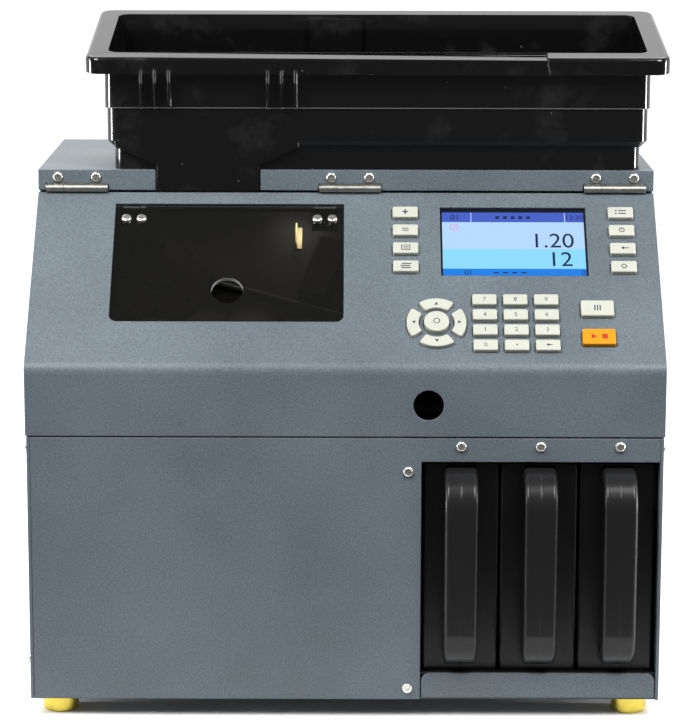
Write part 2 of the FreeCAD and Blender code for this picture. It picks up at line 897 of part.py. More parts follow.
def window_leaves():
    """Leaf behind each end of the window with one knuckle on the hinge line."""
    solids = []
    back = -window_recess - window_thickness
    half = window_knuckle / 2
    for middle in window_hinge_middles():
        x0 = middle - window_leaf_width / 2
        low = window_axis_s - window_leaf_length
        high = window_axis_s - window_thickness / 2 - seam
        behind = back - window_leaf
        leaf = box(x0, x0 + window_leaf_width, low, high, behind, back)
        web = box(middle - half, middle + half, low, window_axis_s, behind, back)
        rise_s = window_axis_s - window_leaf / 2
        rise = block(middle, window_knuckle, rise_s, window_leaf, behind, window_axis_n)
        axis = V(middle - half, window_axis_s, window_axis_n)
        barrel = cylinder(window_thickness, axis, V(1, 0, 0), window_knuckle)
        bore = window_bore(middle, half + over)
        cuts = [bore] + [screw_hole(x) for x in window_screw_xs()]
        solids.append(on_slope(fuse([leaf, web, rise, barrel]).cut(cuts)))
    return Part.makeCompound(solids)


def window_bore(middle, half):
    """Running hole for a window hinge pin."""
    start = V(middle - half, window_axis_s, window_axis_n)
    return cylinder(window_pin + 2 * hinge_fit, start, V(1, 0, 0), 2 * half)


def window_brackets():
    """Bracket under the lid at each window hinge: two lugs with the pin between them."""
    solids = []
    inner = window_knuckle / 2 + seam
    outer = inner + window_lug
    top = -sheet
    for middle in window_hinge_middles():
        edge = window_top + window_gap
        pieces = [
            box(middle - outer, middle + outer, edge, edge + lug_reach, top - window_leaf, top),
            cylinder(window_pin, V(middle - outer, window_axis_s, window_axis_n), V(1, 0, 0), 2 * outer),
        ]
        for x0, x1 in ((-outer, -inner), (inner, outer)):
            start = V(middle + x0, window_axis_s, window_axis_n)
            pieces.append(cylinder(window_thickness, start, V(1, 0, 0), x1 - x0))
            pieces.append(box(middle + x0, middle + x1, window_axis_s, edge + over, top - window_leaf, top))
        solids.append(on_slope(fuse(pieces)))
    return Part.makeCompound(solids)


def box_bay():
    """Sill, shelf, divider and cross rail that frame the coin boxes."""
    x0 = bay_left + sill_end_gap
    x1 = inner_half - sill_end_gap
    back = box_front + box_depth + flange
    sill = box(x0, x1, 0, sheet, sill_foot, sill_height)
    across = [e for e in sill.Edges if abs(e.tangentAt(e.FirstParameter).y) > 0.99]
    corners = [e for e in across if e.Vertexes[0].Z > sill_height - over]
    right = inner_half - seam
    inside = right - sheet
    pieces = [
        sill.makeFillet(sill_corner, corners),
        box(x0 + sill_corner, x1 - sill_corner, 0, 2 * sheet, sill_height - sheet, sill_height),
        box(bay_left - sheet, right, 2 * sheet, back, sill_height - sheet, sill_height),
        box(bay_left - sheet, inside, back - sheet, back, sheet, sill_height),
        box(bay_left - sheet, right, back - sheet, back, sill_height - sheet, box_top),
        box(bay_left - sheet, bay_left, 2 * sheet, back, sheet, box_top),
        box(bay_left - bay_flange, bay_left, sheet, 2 * sheet, sheet, front_top - sheet),
        box(bay_left - bay_flange, inside - seam, sheet, 2 * sheet, bay_top, front_top - sheet),
    ]
    return drilled(fuse(pieces))


def handle_path(inset):
    """Outline of the strap handle's bow in the side view, that far in from its outer face."""
    face = box_front + box_wall / 2
    top = box_top - handle_top_inset - inset
    foot = box_floor + handle_foot + inset
    front = box_front - handle_reach + inset
    radius = handle_radius - inset
    diagonal = radius * (1 - math.sqrt(0.5))
    first = V(0, face, top)
    bend_top = V(0, front + radius, top)
    side_top = V(0, front, top - radius)
    side_foot = V(0, front, foot + radius)
    bend_foot = V(0, front + radius, foot)
    last = V(0, face, foot)
    return [
        Part.LineSegment(first, bend_top).toShape(),
        Part.Arc(bend_top, V(0, front + diagonal, top - diagonal), side_top).toShape(),
        Part.LineSegment(side_top, side_foot).toShape(),
        Part.Arc(side_foot, V(0, front + diagonal, foot + diagonal), bend_foot).toShape(),
        Part.LineSegment(bend_foot, last).toShape(),
    ]


def handle():
    """Strap handle, with its outer edges rounded."""
    outer = handle_path(0)
    inner = handle_path(handle_thickness)
    ends = [
        Part.LineSegment(outer[0].Vertexes[0].Point, inner[0].Vertexes[0].Point).toShape(),
        Part.LineSegment(outer[-1].Vertexes[-1].Point, inner[-1].Vertexes[-1].Point).toShape(),
    ]
    wire = Part.Wire(Part.__sortEdges__(outer + inner + ends))
    face = Part.Face(wire)
    face.translate(V(-handle_width / 2, 0, 0))
    strap = face.extrude(V(handle_width, 0, 0))
    bow = Part.Wire(outer)
    rim = [e for e in strap.Edges if on_bow(e, bow)]
    return strap.makeFillet(handle_edge, rim)


def on_bow(edge, bow):
    """Whether an edge of the strap runs along the handle's outer bow."""
    middle = edge.valueAt((edge.FirstParameter + edge.LastParameter) / 2)
    if abs(abs(middle.x) - handle_width / 2) > near:
        return False
    return bow.distToShape(Part.Vertex(V(0, middle.y, middle.z)))[0] < near


def coin_box(left):
    """Open box with its strap handle, one moulding."""
    back = box_front + box_depth
    wall = box_wall
    right = left + box_width
    body = rounded_box(left, right, box_front, back, box_floor, box_top, box_corner)
    low = box_floor + wall
    radius = box_corner - wall / 2
    high = box_top + over
    inside = rounded_box(left + wall, right - wall, box_front + wall, back - wall, low, high, radius)
    grip = handle()
    grip.translate(V(left + box_width / 2, 0, 0))
    return fuse([body, grip]).cut(inside)


def hopper_tier(inset, low, high, wall):
    """A rounded block of the hopper's outline, stepped in and hollowed by a wall."""
    x = hopper_width / 2 - inset - wall
    y0 = hopper_front + inset + wall
    y1 = hopper_front + hopper_depth - inset - wall
    radius = hopper_corner - wall
    return rounded_box(hopper_x - x, hopper_x + x, y0, y1, low, high, radius)


def ruled(front, back, depth):
    """A plate, one thickness downwards from the surface ruled between two lines given by their ends."""
    edges = [Part.LineSegment(start, end).toShape() for start, end in (front, back)]
    return Part.makeRuledSurface(*edges).extrude(V(0, 0, -depth))


def hopper_floor():
    """Floors that fall to the front and towards the outlet, and the walls of the channel between them."""
    low = cover_top + floor_lift
    high = low + floor_rise
    side = low + floor_side_rise
    left = hopper_left
    right = hopper_right
    front = hopper_front
    back = hopper_front + hopper_depth
    chute_left = chute_x - chute_width / 2
    chute_right = chute_x + chute_width / 2
    chute_back = tongue_y + chute_depth
    wall = hopper_wall
    right_front = (V(chute_right, front, low), V(right, front, side))
    right_back = (V(chute_right, back, high), V(right, back, high))
    left_front = (V(left, front, side), V(chute_left, front, low))
    left_back = (V(left, back, high), V(chute_left, back, high))
    plates = [ruled(right_front, right_back, wall), ruled(left_front, left_back, wall)]
    ramp = [(chute_back - wall, low - wall), (chute_back - wall, low), (back, high), (back, high - wall)]
    plates.append(profile(ramp, chute_left, chute_right))
    cheek = [(front, low - wall), (front, low), (back, high), (back, high - wall), (chute_back, low - wall)]
    plates.append(profile(cheek, chute_left, chute_left + chute_wall))
    plates.append(profile(cheek, chute_right - chute_wall, chute_right))
    return plates


def rim_ring():
    """Rolled rim in its tilted axes, with the sagging left part of its front edge and the slit beside it."""
    x = hopper_width / 2 + rim_overhang
    outer = rounded_box(-x, x, 0, rim_length, -rim_lip, 0, hopper_corner)
    top = [e for e in outer.Edges if min(v.Z for v in e.Vertexes) > -near]
    outer = outer.makeFillet(rim_edge, top)
    wall = hopper_wall
    radius = hopper_corner - wall
    under = rounded_box(-x + wall, x - wall, wall, rim_length - wall, -rim_lip - over, -rim_plate, radius)
    slit = hopper_width / 2 - rim_slit_inset
    wedge = [V(-x, 0, 0), V(slit, 0, -rim_sag), V(slit + rim_sag, 0, 0)]
    sag = Part.Face(Part.makePolygon(wedge + wedge[:1])).extrude(V(0, rim_overhang + wall, 0))
    lean = rim_lip / 4
    far = slit + rim_slit
    line = [V(slit, 0, 0), V(far, 0, 0), V(far + lean, 0, -rim_lip), V(slit + lean, 0, -rim_lip)]
    gap = Part.Face(Part.makePolygon(line + line[:1])).extrude(V(0, rim_overhang - wall, 0))
    return outer.cut([under, sag, gap])


def above_rim():
    """All the space over the middle of the rim's plate."""
    x = hopper_width
    return on_rim(box(-x, x, -rim_length, 2 * rim_length, -rim_plate / 2, 2 * rim_length))


def hopper_ribs():
    """Gusset ribs from the rim's lip down the upper tier's front."""
    ribs = []
    for inset in rib_insets:
        for k in range(3):
            x0 = hopper_left + inset + k * rib_pitch - rib_thickness / 2
            back = hopper_front + hopper_wall / 2
            rib = box(x0, x0 + rib_thickness, rim_y + hopper_wall / 2, back, tier_middle_top, rim_z + rim_lip)
            ribs.append(rib.cut([above_rim(), rib_slope(x0)]))
    return ribs


def hopper_apron():
    """The front of the middle tier carried down in a funnel shape to the outlet's tongue."""
    half = chute_width / 2
    low = tier_foot_top - apron_drop
    high = tier_foot_top + tier_foot_step
    corners = [
        V(chute_x - half - apron_left, tongue_y, high),
        V(chute_x - half - apron_left, tongue_y, tier_foot_top),
        V(chute_x - half, tongue_y, low),
        V(chute_x - half, tongue_y, flange_bottom),
        V(chute_x + half, tongue_y, flange_bottom),
        V(chute_x + half, tongue_y, low),
        V(chute_x + half + apron_right, tongue_y, tier_foot_top),
        V(chute_x + half + apron_right, tongue_y, high),
    ]
    depth = tier_foot_step + hopper_wall
    return Part.Face(Part.makePolygon(corners + corners[:1])).extrude(V(0, depth, 0))


def hopper_shell(wall):
    """The three stepped tiers, as solid blocks or as the hollow inside them."""
    roof = rim_z + rim_length * rim_sin + rim_lip
    middle = hopper_tier(tier_step, tier_foot_top + wall, tier_middle_top + wall, wall)
    low_edges = [e for e in middle.Edges if max(v.Z for v in e.Vertexes) < tier_foot_top + wall + near]
    return fuse([
        hopper_tier(0, tier_middle_top + wall, roof, wall),
        middle.makeChamfer(tier_foot_step - tier_land, low_edges),
        hopper_tier(tier_step + tier_foot_step, cover_top - wall, tier_foot_top + wall, wall),
    ])


def hopper():
    """Moulded coin tray: three stepped tiers, a rim that rises to the back, ribs, floors and the outlet."""
    body = hopper_shell(0)
    tray = body.cut([hopper_shell(hopper_wall), above_rim()])
    floors = [plate.common(body) for plate in hopper_floor()]
    ring = on_rim(rim_ring()).cut(hopper_tier(0, cover_top, rim_z + rim_length, hopper_wall))
    back = hopper_front + hopper_depth - hopper_wall
    pillar_x = hopper_left + pilaster_inset + pilaster_width / 2
    high = rim_z + rim_length
    pillar = block(pillar_x, pilaster_width, back, 2 * pilaster_depth, tier_middle_top, high).common(body)
    foot = cover_top - chute_drop
    thin = chute_wall
    front = cover_front + sheet + seam
    rear = tongue_y + chute_depth
    top = cover_top + floor_lift
    middle = (front + rear) / 2
    depth = rear - front
    duct = block(chute_x, chute_width, middle, depth, foot, top)
    bore = block(chute_x, chute_width - 2 * thin, middle, depth - 2 * thin, foot - over, top + floor_rise)
    solid = fuse([tray, ring, duct, hopper_apron(), pillar.cut(above_rim())] + floors + hopper_ribs())
    return solid.cut(bore)


def rib_slope(x0):
    """The wedge cut from a gusset rib, which runs from the rim's lip to the tier's foot."""
    points = [
        (rim_y - over, tier_middle_top - over),
        (hopper_front - hopper_wall, tier_middle_top - over),
        (rim_y - over, rim_z - rim_lip),
    ]
    return profile(points, x0 - over, x0 + rib_thickness + over)


def rail_place(x):
    """Distance along the rail to a place along X."""
    return (x - rail_x) / rail_cos


def sorting_deck():
    """Sloping deck with the coin rail, the bowl wall, three drop slots and the flap bearings."""
    plate = on_deck(box(-inner_half, inner_half, deck_low, deck_high, -deck_thickness, 0))
    rail_end = rail_place(gate_xs[-1] + slot_length / 2)
    rail = on_rail(box(0, rail_end, -rail_width, 0, -deck_thickness / 2, rail_height))
    pieces = [plate, rail, bowl()]
    cuts = []
    for x in gate_xs:
        across = slot_lift + slot_width / 2
        slot = block(rail_place(x), slot_length, across, slot_width, -deck_thickness - over, over)
        cuts.append(on_rail(slot))
    pivot_y = slot_lift + slot_width - flap_gap - flap_pivot_inset
    for x in gate_xs[:-1]:
        start = rail_place(x) + slot_length / 2
        low = -flap_pivot_drop - flap_pivot
        lug = block(start + flap_lug / 2, flap_lug, pivot_y, 2 * flap_pivot, low, -deck_thickness / 2)
        pieces.append(on_rail(lug))
        hole = V(start - over, pivot_y, -flap_pivot_drop)
        cuts.append(on_rail(cylinder(flap_pivot + 2 * flap_fit, hole, V(1, 0, 0), flap_lug + 2 * over)))
    shaft = V(disc_x, disc_height, -deck_thickness - over)
    depth = deck_thickness + 2 * over
    cuts.append(on_deck(cylinder(shaft_diameter + 2 * disc_gap, shaft, V(0, 0, 1), depth)))
    return fuse(pieces).cut(cuts)


def bowl():
    """Half ring of wall round the lower side of the feed disc."""
    inner = disc_diameter / 2 + bowl_gap
    base = V(disc_x, disc_height, -deck_thickness / 2)
    outside = Part.makeCylinder(inner + bowl_wall, bowl_height, base)
    ring = outside.cut(Part.makeCylinder(inner, bowl_height, base))
    reach = 2 * inner + 4 * bowl_wall
    upper = block(disc_x, reach, disc_height + reach / 2, reach, -deck_thickness, bowl_height)
    return on_deck(ring.cut(upper))


def feed_disc():
    """Turning disc with pegs, hub and the shaft that drops into the motor."""
    centre = V(disc_x, disc_height, disc_gap)
    plate = Part.makeCylinder(disc_diameter / 2, disc_thickness, centre)
    hub = Part.makeCylinder(disc_hub / 2, disc_thickness + disc_hub_height, centre)
    shaft_low = -deck_thickness - shaft_depth
    length = disc_gap + disc_thickness - shaft_low
    shaft = cylinder(shaft_diameter, V(disc_x, disc_height, shaft_low), V(0, 0, 1), length)
    pieces = [plate, hub, shaft]
    radius = disc_diameter / 2 - peg_inset
    for k in range(disc_pegs):
        turn = 2 * math.pi * k / disc_pegs
        foot = centre + V(radius * math.cos(turn), radius * math.sin(turn), disc_thickness / 2)
        pieces.append(cylinder(peg_diameter, foot, V(0, 0, 1), disc_thickness / 2 + peg_height))
    return on_deck(fuse(pieces))


def drive_motor():
    """Gear motor under the deck, its flange against the deck's underside."""
    low = -deck_thickness
    mount = block(disc_x, motor_flange, disc_height, motor_flange, low - motor_flange_thickness, low)
    foot = V(disc_x, disc_height, low - motor_length)
    can = Part.makeCylinder(motor_diameter / 2, motor_length, foot)
    bore_foot = V(disc_x, disc_height, low - shaft_depth - disc_gap)
    bore = cylinder(shaft_diameter + 2 * shaft_fit, bore_foot, V(0, 0, 1), shaft_depth + 2 * disc_gap)
    return on_deck(fuse([mount, can]).cut(bore))


def gate_flap(x):
    """Flap that fills a drop slot level with the deck, with its pivot rod behind."""
    middle = rail_place(x)
    half = slot_length / 2 - flap_gap
    low = slot_lift + flap_gap
    high = slot_lift + slot_width - flap_gap
    pivot_y = high - flap_pivot_inset
    rod_end = slot_length / 2 + flap_lug + gate_motor_gap + gate_motor_length / 2
    plate = box(middle - half, middle + half, low, high, -flap_thickness, 0)
    arm = block(middle, 2 * half, pivot_y, flap_pivot, -flap_pivot_drop, 0)
    rod = cylinder(flap_pivot, V(middle - half, pivot_y, -flap_pivot_drop), V(1, 0, 0), half + rod_end)
    return on_rail(fuse([plate, arm, rod]))


def gate_motors():
    """Small gear motor on each flap's rod, its output off centre, on a foot under the deck."""
    solids = []
    pivot_y = slot_lift + slot_width - flap_gap - flap_pivot_inset
    for x in gate_xs[:-1]:
        start = rail_place(x) + slot_length / 2 + flap_lug + gate_motor_gap
        centre_z = -deck_thickness - gate_motor_diameter / 2
        can = cylinder(gate_motor_diameter, V(start, pivot_y, centre_z), V(1, 0, 0), gate_motor_length)
        middle = start + gate_motor_length / 2
        foot = block(middle, gate_motor_length, pivot_y, gate_motor_diameter, centre_z, -deck_thickness)
        bore_start = V(start - over, pivot_y, -flap_pivot_drop)
        bore_length = gate_motor_length / 2 + 2 * over
        bore = cylinder(flap_pivot + 2 * flap_fit, bore_start, V(1, 0, 0), bore_length)
        solids.append(on_rail(fuse([can, foot]).cut(bore)))
    return Part.makeCompound(solids)


def coin_sensor():
    """Sensor bridge over the rail: a post above the coins' path and an arm across it."""
    x0 = sensor_position
    x1 = x0 + sensor_length
    post = box(x0, x1, sensor_span, sensor_span + sensor_depth, 0, sensor_opening + sensor_depth)
    arm = box(x0, x1, 0, sensor_span + over, sensor_opening, sensor_opening + sensor_depth)
    return on_rail(fuse([post, arm]))


def sensor_bracket():
    """Brass bracket that stands on the deck beside the sensor's post."""
    x0 = rail_x + bracket_lead - bracket_width / 2
    x1 = x0 + bracket_width
    low = bracket_foot
    thin = bracket_width / 4
    foot = box(x0, x1, low, low + bracket_length, 0, thin)
    blade = box(x0, x0 + thin, low, low + bracket_length, 0, bracket_height)
    return on_deck(fuse([foot, blade]))


def upright(x, width, z, height, y0, y1):
    """A block by its middle and its widths along X and Z, between two depths."""
    return box(x - width / 2, x + width / 2, y0, y1, z - height / 2, z + height / 2)


def mains_inlet():
    """Inlet with three pins in its socket and a frame for the rocker."""
    x = inlet_x
    z = inlet_centre_height
    face = cabinet_depth + inlet_flange
    trim = 2 * inlet_body_inset
    plate = upright(x, inlet_width, z, inlet_height, cabinet_depth, face)
    body = upright(x, inlet_width - trim, z, inlet_height - trim, cabinet_depth - inlet_depth, face)
    socket_z = z - socket_drop
    deep = face - socket_depth
    socket = upright(x, socket_width, socket_z, socket_height, deep, face + over)
    wide = rocker_width + 2 * rocker_gap
    tall = rocker_height + 2 * rocker_gap
    rocker_z = z + rocker_raise
    well = upright(x, wide, rocker_z, tall, face - 2 * rocker_depth, face + over)
    pivot = V(x - wide / 2 - rocker_gap, face - rocker_depth / 2, rocker_z)
    pivot_hole = cylinder(rocker_pivot + 2 * rocker_fit, pivot, V(1, 0, 0), wide + 2 * rocker_gap)
    shell = fuse([plate, body]).cut([socket, well, pivot_hole])
    pins = []
    for k in (-1, 0, 1):
        pin_z = socket_z + (pin_raise if k == 0 else -pin_raise)
        pin_x = x + k * pin_pitch
        pins.append(upright(pin_x, pin_size[0], pin_z, pin_size[1], deep - over, deep + pin_length))
    return fuse([shell] + pins)


def power_rocker():
    """Rocker with a shallow V face, resting with one end in, on its pivot pins."""
    x = inlet_x
    z = inlet_centre_height + rocker_raise
    axis_y = cabinet_depth + inlet_flange - rocker_depth / 2
    half = rocker_height / 2
    rise = half * math.tan(math.radians(rocker_angle))
    points = [
        (-rocker_depth / 2, -half + rise),
        (rocker_depth / 2 + rise, -half),
        (rocker_depth / 2, 0),
        (rocker_depth / 2 + rise, half),
        (-rocker_depth / 2, half - rise),
    ]
    rocker = profile(points, -rocker_width / 2, rocker_width / 2)
    pivot_half = rocker_width / 2 + rocker_gap * 1.5
    pivot = cylinder(rocker_pivot, V(-pivot_half, 0, 0), V(1, 0, 0), 2 * pivot_half)
    solid = fuse([rocker, pivot])
    solid.rotate(V(0, 0, 0), V(1, 0, 0), -rocker_angle)
    solid.translate(V(x, axis_y, z))
    return solid


def power_supply():
    """Vented metal box on the base pan."""
    length, depth, height = supply_size
    x0 = -inner_half + supply_inset[0]
    y1 = cabinet_depth - supply_inset[1] - inlet_depth
    y0 = y1 - depth
    shell = box(x0, x0 + length, y0, y1, sheet, sheet + height)
    width, slot = supply_vent
    top = sheet + height
    cuts = []
    for k in range(supply_vents):
        x = x0 + length * (k + 1) / (supply_vents + 1)
        cuts.append(block(x, width, (y0 + y1) / 2, slot, top - width, top + over))
    return shell.cut(cuts)


def feet():
    """Four turned feet, tapered and rounded at the floor."""
    solids = []
    for x in (-half_width + foot_inset_x, half_width - foot_inset_x):
        for y in (foot_inset_y, cabinet_depth - foot_inset_y):
            top = foot_diameter / 2
            foot = Part.makeCone(top - foot_taper, top, foot_height, V(x, y, -foot_height))
            rim = [e for e in foot.Edges if max(v.Z for v in e.Vertexes) < -foot_height + near]
            solids.append(foot.makeFillet(foot_rounding, rim))
    return Part.makeCompound(solids)


def all_nodes():
    """Every piece by its node's name."""
    nodes = {
        "base_pan": base_pan(),
        "left_side_panel": side_panel(-1),
        "right_side_panel": side_panel(1),
        "front_panel": front_panel(),
        "rear_panel": rear_panel(),
        "top_cover": top_cover(),
        "hopper": hopper(),
        "feet": feet(),
        "case_screws": case_screws(),
        "hinge_fixed_leaves": hinge_fixed_leaves(),
        "hinge_lid_leaves": hinge_lid_leaves(),
        "lid": lid(),
        "display_module": display_module(),
        "keypad_board": keypad_board(),
        "window": window(),
        "window_leaves": window_leaves(),
        "window_brackets": window_brackets(),
        "window_screws": window_screws(),
        "box_bay": box_bay(),
        "sorting_deck": sorting_deck(),
        "feed_disc": feed_disc(),
        "drive_motor": drive_motor(),
        "gate_motors": gate_motors(),
        "coin_sensor": coin_sensor(),
        "sensor_bracket": sensor_bracket(),
        "power_supply": power_supply(),
        "mains_inlet": mains_inlet(),
        "power_rocker": power_rocker(),
    }
    for k, left in enumerate(box_lefts):
        nodes[f"coin_box_{k + 1}"] = coin_box(left)
    for k, x in enumerate(gate_xs[:-1]):
        nodes[f"gate_flap_{k + 1}"] = gate_flap(x)
    nodes.update(key_nodes())
    return nodes


def origin_shift(nodes):
    """The move that puts the origin under the middle of the whole machine, on the floor."""
    whole = FreeCAD.BoundBox()
    for shape in nodes.values():
        whole.add(shape.optimalBoundingBox(False))
    return V(-whole.Center.x, -whole.Center.y, -whole.ZMin)


def main():
    """Build every piece and write one file for each."""
    os.makedirs("parts", exist_ok=True)
    nodes = all_nodes()
    shift = origin_shift(nodes)
    for name, shape in nodes.items():
        shape.translate(shift)
        shape.exportStep(f"parts/{name}.step")
    print(len(nodes), "nodes, shifted by", [round(v, 3) for v in shift])


main()
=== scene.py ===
import json
import math

import bpy
import numpy as np
from mathutils import Matrix, Vector


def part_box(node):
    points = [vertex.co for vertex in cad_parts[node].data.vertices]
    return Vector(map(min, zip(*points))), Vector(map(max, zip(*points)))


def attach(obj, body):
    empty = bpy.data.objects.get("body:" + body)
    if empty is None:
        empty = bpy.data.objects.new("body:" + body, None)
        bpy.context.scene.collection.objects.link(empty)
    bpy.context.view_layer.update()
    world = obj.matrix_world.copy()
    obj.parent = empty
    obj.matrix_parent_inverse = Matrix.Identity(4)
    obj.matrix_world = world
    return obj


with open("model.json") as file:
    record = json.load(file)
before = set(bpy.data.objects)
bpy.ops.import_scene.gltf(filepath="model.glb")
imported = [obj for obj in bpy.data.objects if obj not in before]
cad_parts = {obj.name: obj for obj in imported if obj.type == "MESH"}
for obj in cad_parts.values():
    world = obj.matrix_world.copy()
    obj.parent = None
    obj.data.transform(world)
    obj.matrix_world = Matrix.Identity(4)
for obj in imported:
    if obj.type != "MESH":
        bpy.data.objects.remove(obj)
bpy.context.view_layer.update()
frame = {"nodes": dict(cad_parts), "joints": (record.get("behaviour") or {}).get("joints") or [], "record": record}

# Coin sorting machine: finishes, screen, key marks, light and camera.
# Places are in metres, in the object's own frame. Flat shapes are drawn in millimetres.
MM = 0.001
SLOPE = math.radians(43.0)
ACROSS = np.array([1.0, 0.0, 0.0])
UP_SLOPE = np.array([0.0, math.cos(SLOPE), math.sin(SLOPE)])
OUT_OF_SLOPE = np.array([0.0, -math.sin(SLOPE), math.cos(SLOPE)])
INK_LIFT = 0.03 * MM


def points_of(name):
    """All of a CAD node's points as an array."""
    mesh = frame["nodes"][name].data
    points = np.empty(len(mesh.vertices) * 3)
    mesh.vertices.foreach_get("co", points)
    return points.reshape(-1, 3)


def slope_box(name):
    """Lowest and highest places of a node across, up and out of the slope."""
    places = points_of(name) @ np.stack([ACROSS, UP_SLOPE, OUT_OF_SLOPE], 1)
    return places.min(0), places.max(0)


def top_middle(name):
    """Middle of a node across and up the slope, at its highest place out of the slope."""
    low, high = slope_box(name)
    x, s, _ = (low + high) / 2
    return x, s, high[2]


# Places and sizes that the finishes follow
FRONT_PLANE = -0.130885
BAY_BLACK_FROM = FRONT_PLANE + 2.0 * MM
HANDLE_BACK = FRONT_PLANE + 5.0 * MM
BOX_PITCH = 0.0498
FIRST_HANDLE = 0.06955
FOLD_RADIUS = 1.0 * MM
MOULD_RADIUS = 0.45 * MM
TIER_HEIGHT = 40.4 * MM
RIM_OVERHANG = 11.3 * MM
TIER_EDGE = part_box("top_cover")[1][2] + TIER_HEIGHT
TIER_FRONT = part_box("hopper")[0][1] + RIM_OVERHANG
WINDOW_TOP = float(slope_box("window")[1][1])
# Where the painted shade along the window's upper edge begins, and where it is full
SHADED_TOP_FROM = WINDOW_TOP - 2.2 * MM
SHADED_TOP_FULLY = WINDOW_TOP - 1.4 * MM

# A Mix node's sockets by number: its share, two colours and their mixture, and two plain values
SHARE, FIRST, SECOND, MIXED = 0, 6, 7, 2
FIRST_VALUE, SECOND_VALUE = 2, 3


def linear(colour):
    """An sRGB hex colour as linear red, green, blue and alpha."""
    share = np.array([int(colour[k:k + 2], 16) for k in (1, 3, 5)]) / 255
    value = np.where(share <= 0.04045, share / 12.92, ((share + 0.055) / 1.055) ** 2.4)
    return (*value.tolist(), 1.0)


def per_metre(size_mm):
    """Texture scale whose features are about this many millimetres across."""
    return 1000.0 / size_mm


def add(tree, kind, links=None, **settings):
    """Adds one node, sets its attributes, then links or sets each input that is named."""
    node = tree.nodes.new(kind)
    for name, value in settings.items():
        setattr(node, name, value)
    for name, source in (links or {}).items():
        if isinstance(source, bpy.types.NodeSocket):
            tree.links.new(source, node.inputs[name])
        else:
            node.inputs[name].default_value = source
    return node


def start(name, **sockets):
    """A new material with its tree and shader, and the shader's even values on its own sockets."""
    material = bpy.data.materials.new(name)
    material.use_nodes = True
    shader = material.node_tree.nodes["Principled BSDF"]
    for socket, value in sockets.items():
        shader.inputs[socket.replace("_", " ")].default_value = value
    return material, material.node_tree, shader


def wire(tree, shader, **sources):
    """Links each source to the shader's input of that name."""
    for socket, source in sources.items():
        tree.links.new(source, shader.inputs[socket.replace("_", " ")])


def two_tone(tree, shader, pattern, dark, pale, rough_dark, rough_pale):
    """Lets colour and roughness follow one pattern: dark where it is 0, pale where it is 1."""
    tint = add(tree, "ShaderNodeMix", {SHARE: pattern, FIRST: linear(dark), SECOND: linear(pale)},
               data_type="RGBA")
    rough = add(tree, "ShaderNodeMapRange", {"Value": pattern, "To Min": rough_dark, "To Max": rough_pale})
    wire(tree, shader, Base_Color=tint.outputs[MIXED], Roughness=rough.outputs[0])


def powder_coated_steel():
    """Slate polyester powder baked on folded sheet steel: a fine orange-peel grain that breaks up the
    light, and folds that catch it. The grain is really about 0.4 mm; it is drawn at 1.1 mm to show."""
    material, tree, shader = start("powder_coated_steel", IOR=1.5)
    place = add(tree, "ShaderNodeTexCoord").outputs["Object"]
    grain = add(tree, "ShaderNodeTexNoise", {"Vector": place, "Scale": per_metre(1.1), "Detail": 2.0})
    cloud = add(tree, "ShaderNodeTexNoise", {"Vector": place, "Scale": per_metre(90.0), "Detail": 3.0})
    fine = add(tree, "ShaderNodeMapRange",
               {"Value": grain.outputs[0], "From Min": 0.3, "From Max": 0.7})
    body = add(tree, "ShaderNodeMix",
               {SHARE: fine.outputs[0], FIRST: linear("#505960"), SECOND: linear("#68737a")},
               data_type="RGBA")
    wide = add(tree, "ShaderNodeMapRange",
               {"Value": cloud.outputs[0], "From Min": 0.35, "From Max": 0.65})
    worn = add(tree, "ShaderNodeMix",
               {SHARE: wide.outputs[0], FIRST: linear("#e9e9e9"), SECOND: linear("#ffffff")},
               data_type="RGBA")
    colour = add(tree, "ShaderNodeMix",
                 {SHARE: 1.0, FIRST: body.outputs[MIXED], SECOND: worn.outputs[MIXED]},
                 data_type="RGBA", blend_type="MULTIPLY")
    gloss = add(tree, "ShaderNodeMapRange", {"Value": wide.outputs[0], "To Min": 0.36, "To Max": 0.44})
    fold = add(tree, "ShaderNodeBevel", {"Radius": FOLD_RADIUS}, samples=4)
    bump = add(tree, "ShaderNodeBump", {"Height": grain.outputs[0], "Strength": 0.35,
                                        "Distance": 0.12 * MM, "Normal": fold.outputs[0]})
    wire(tree, shader, Base_Color=colour.outputs[MIXED], Roughness=gloss.outputs[0],
         Normal=bump.outputs[0])
    return material


def bay_coated_steel():
    """The same powder on the bay's sill; behind the front, the inside of the bay is drawn near black."""
    material = powder_coated_steel().copy()
    material.name = "bay_coated_steel"
    tree = material.node_tree
    shader = tree.nodes["Principled BSDF"]
    slate = shader.inputs["Base Color"].links[0].from_socket
    place = add(tree, "ShaderNodeTexCoord").outputs["Object"]
    parts = add(tree, "ShaderNodeSeparateXYZ", {0: place})
    inside = add(tree, "ShaderNodeMapRange", {"Value": parts.outputs["Y"], "From Min": BAY_BLACK_FROM,
                                              "From Max": BAY_BLACK_FROM + 0.6 * MM})
    both = add(tree, "ShaderNodeMix",
               {SHARE: inside.outputs[0], FIRST: slate, SECOND: linear("#101011")}, data_type="RGBA")
    wire(tree, shader, Base_Color=both.outputs[MIXED])
    return material


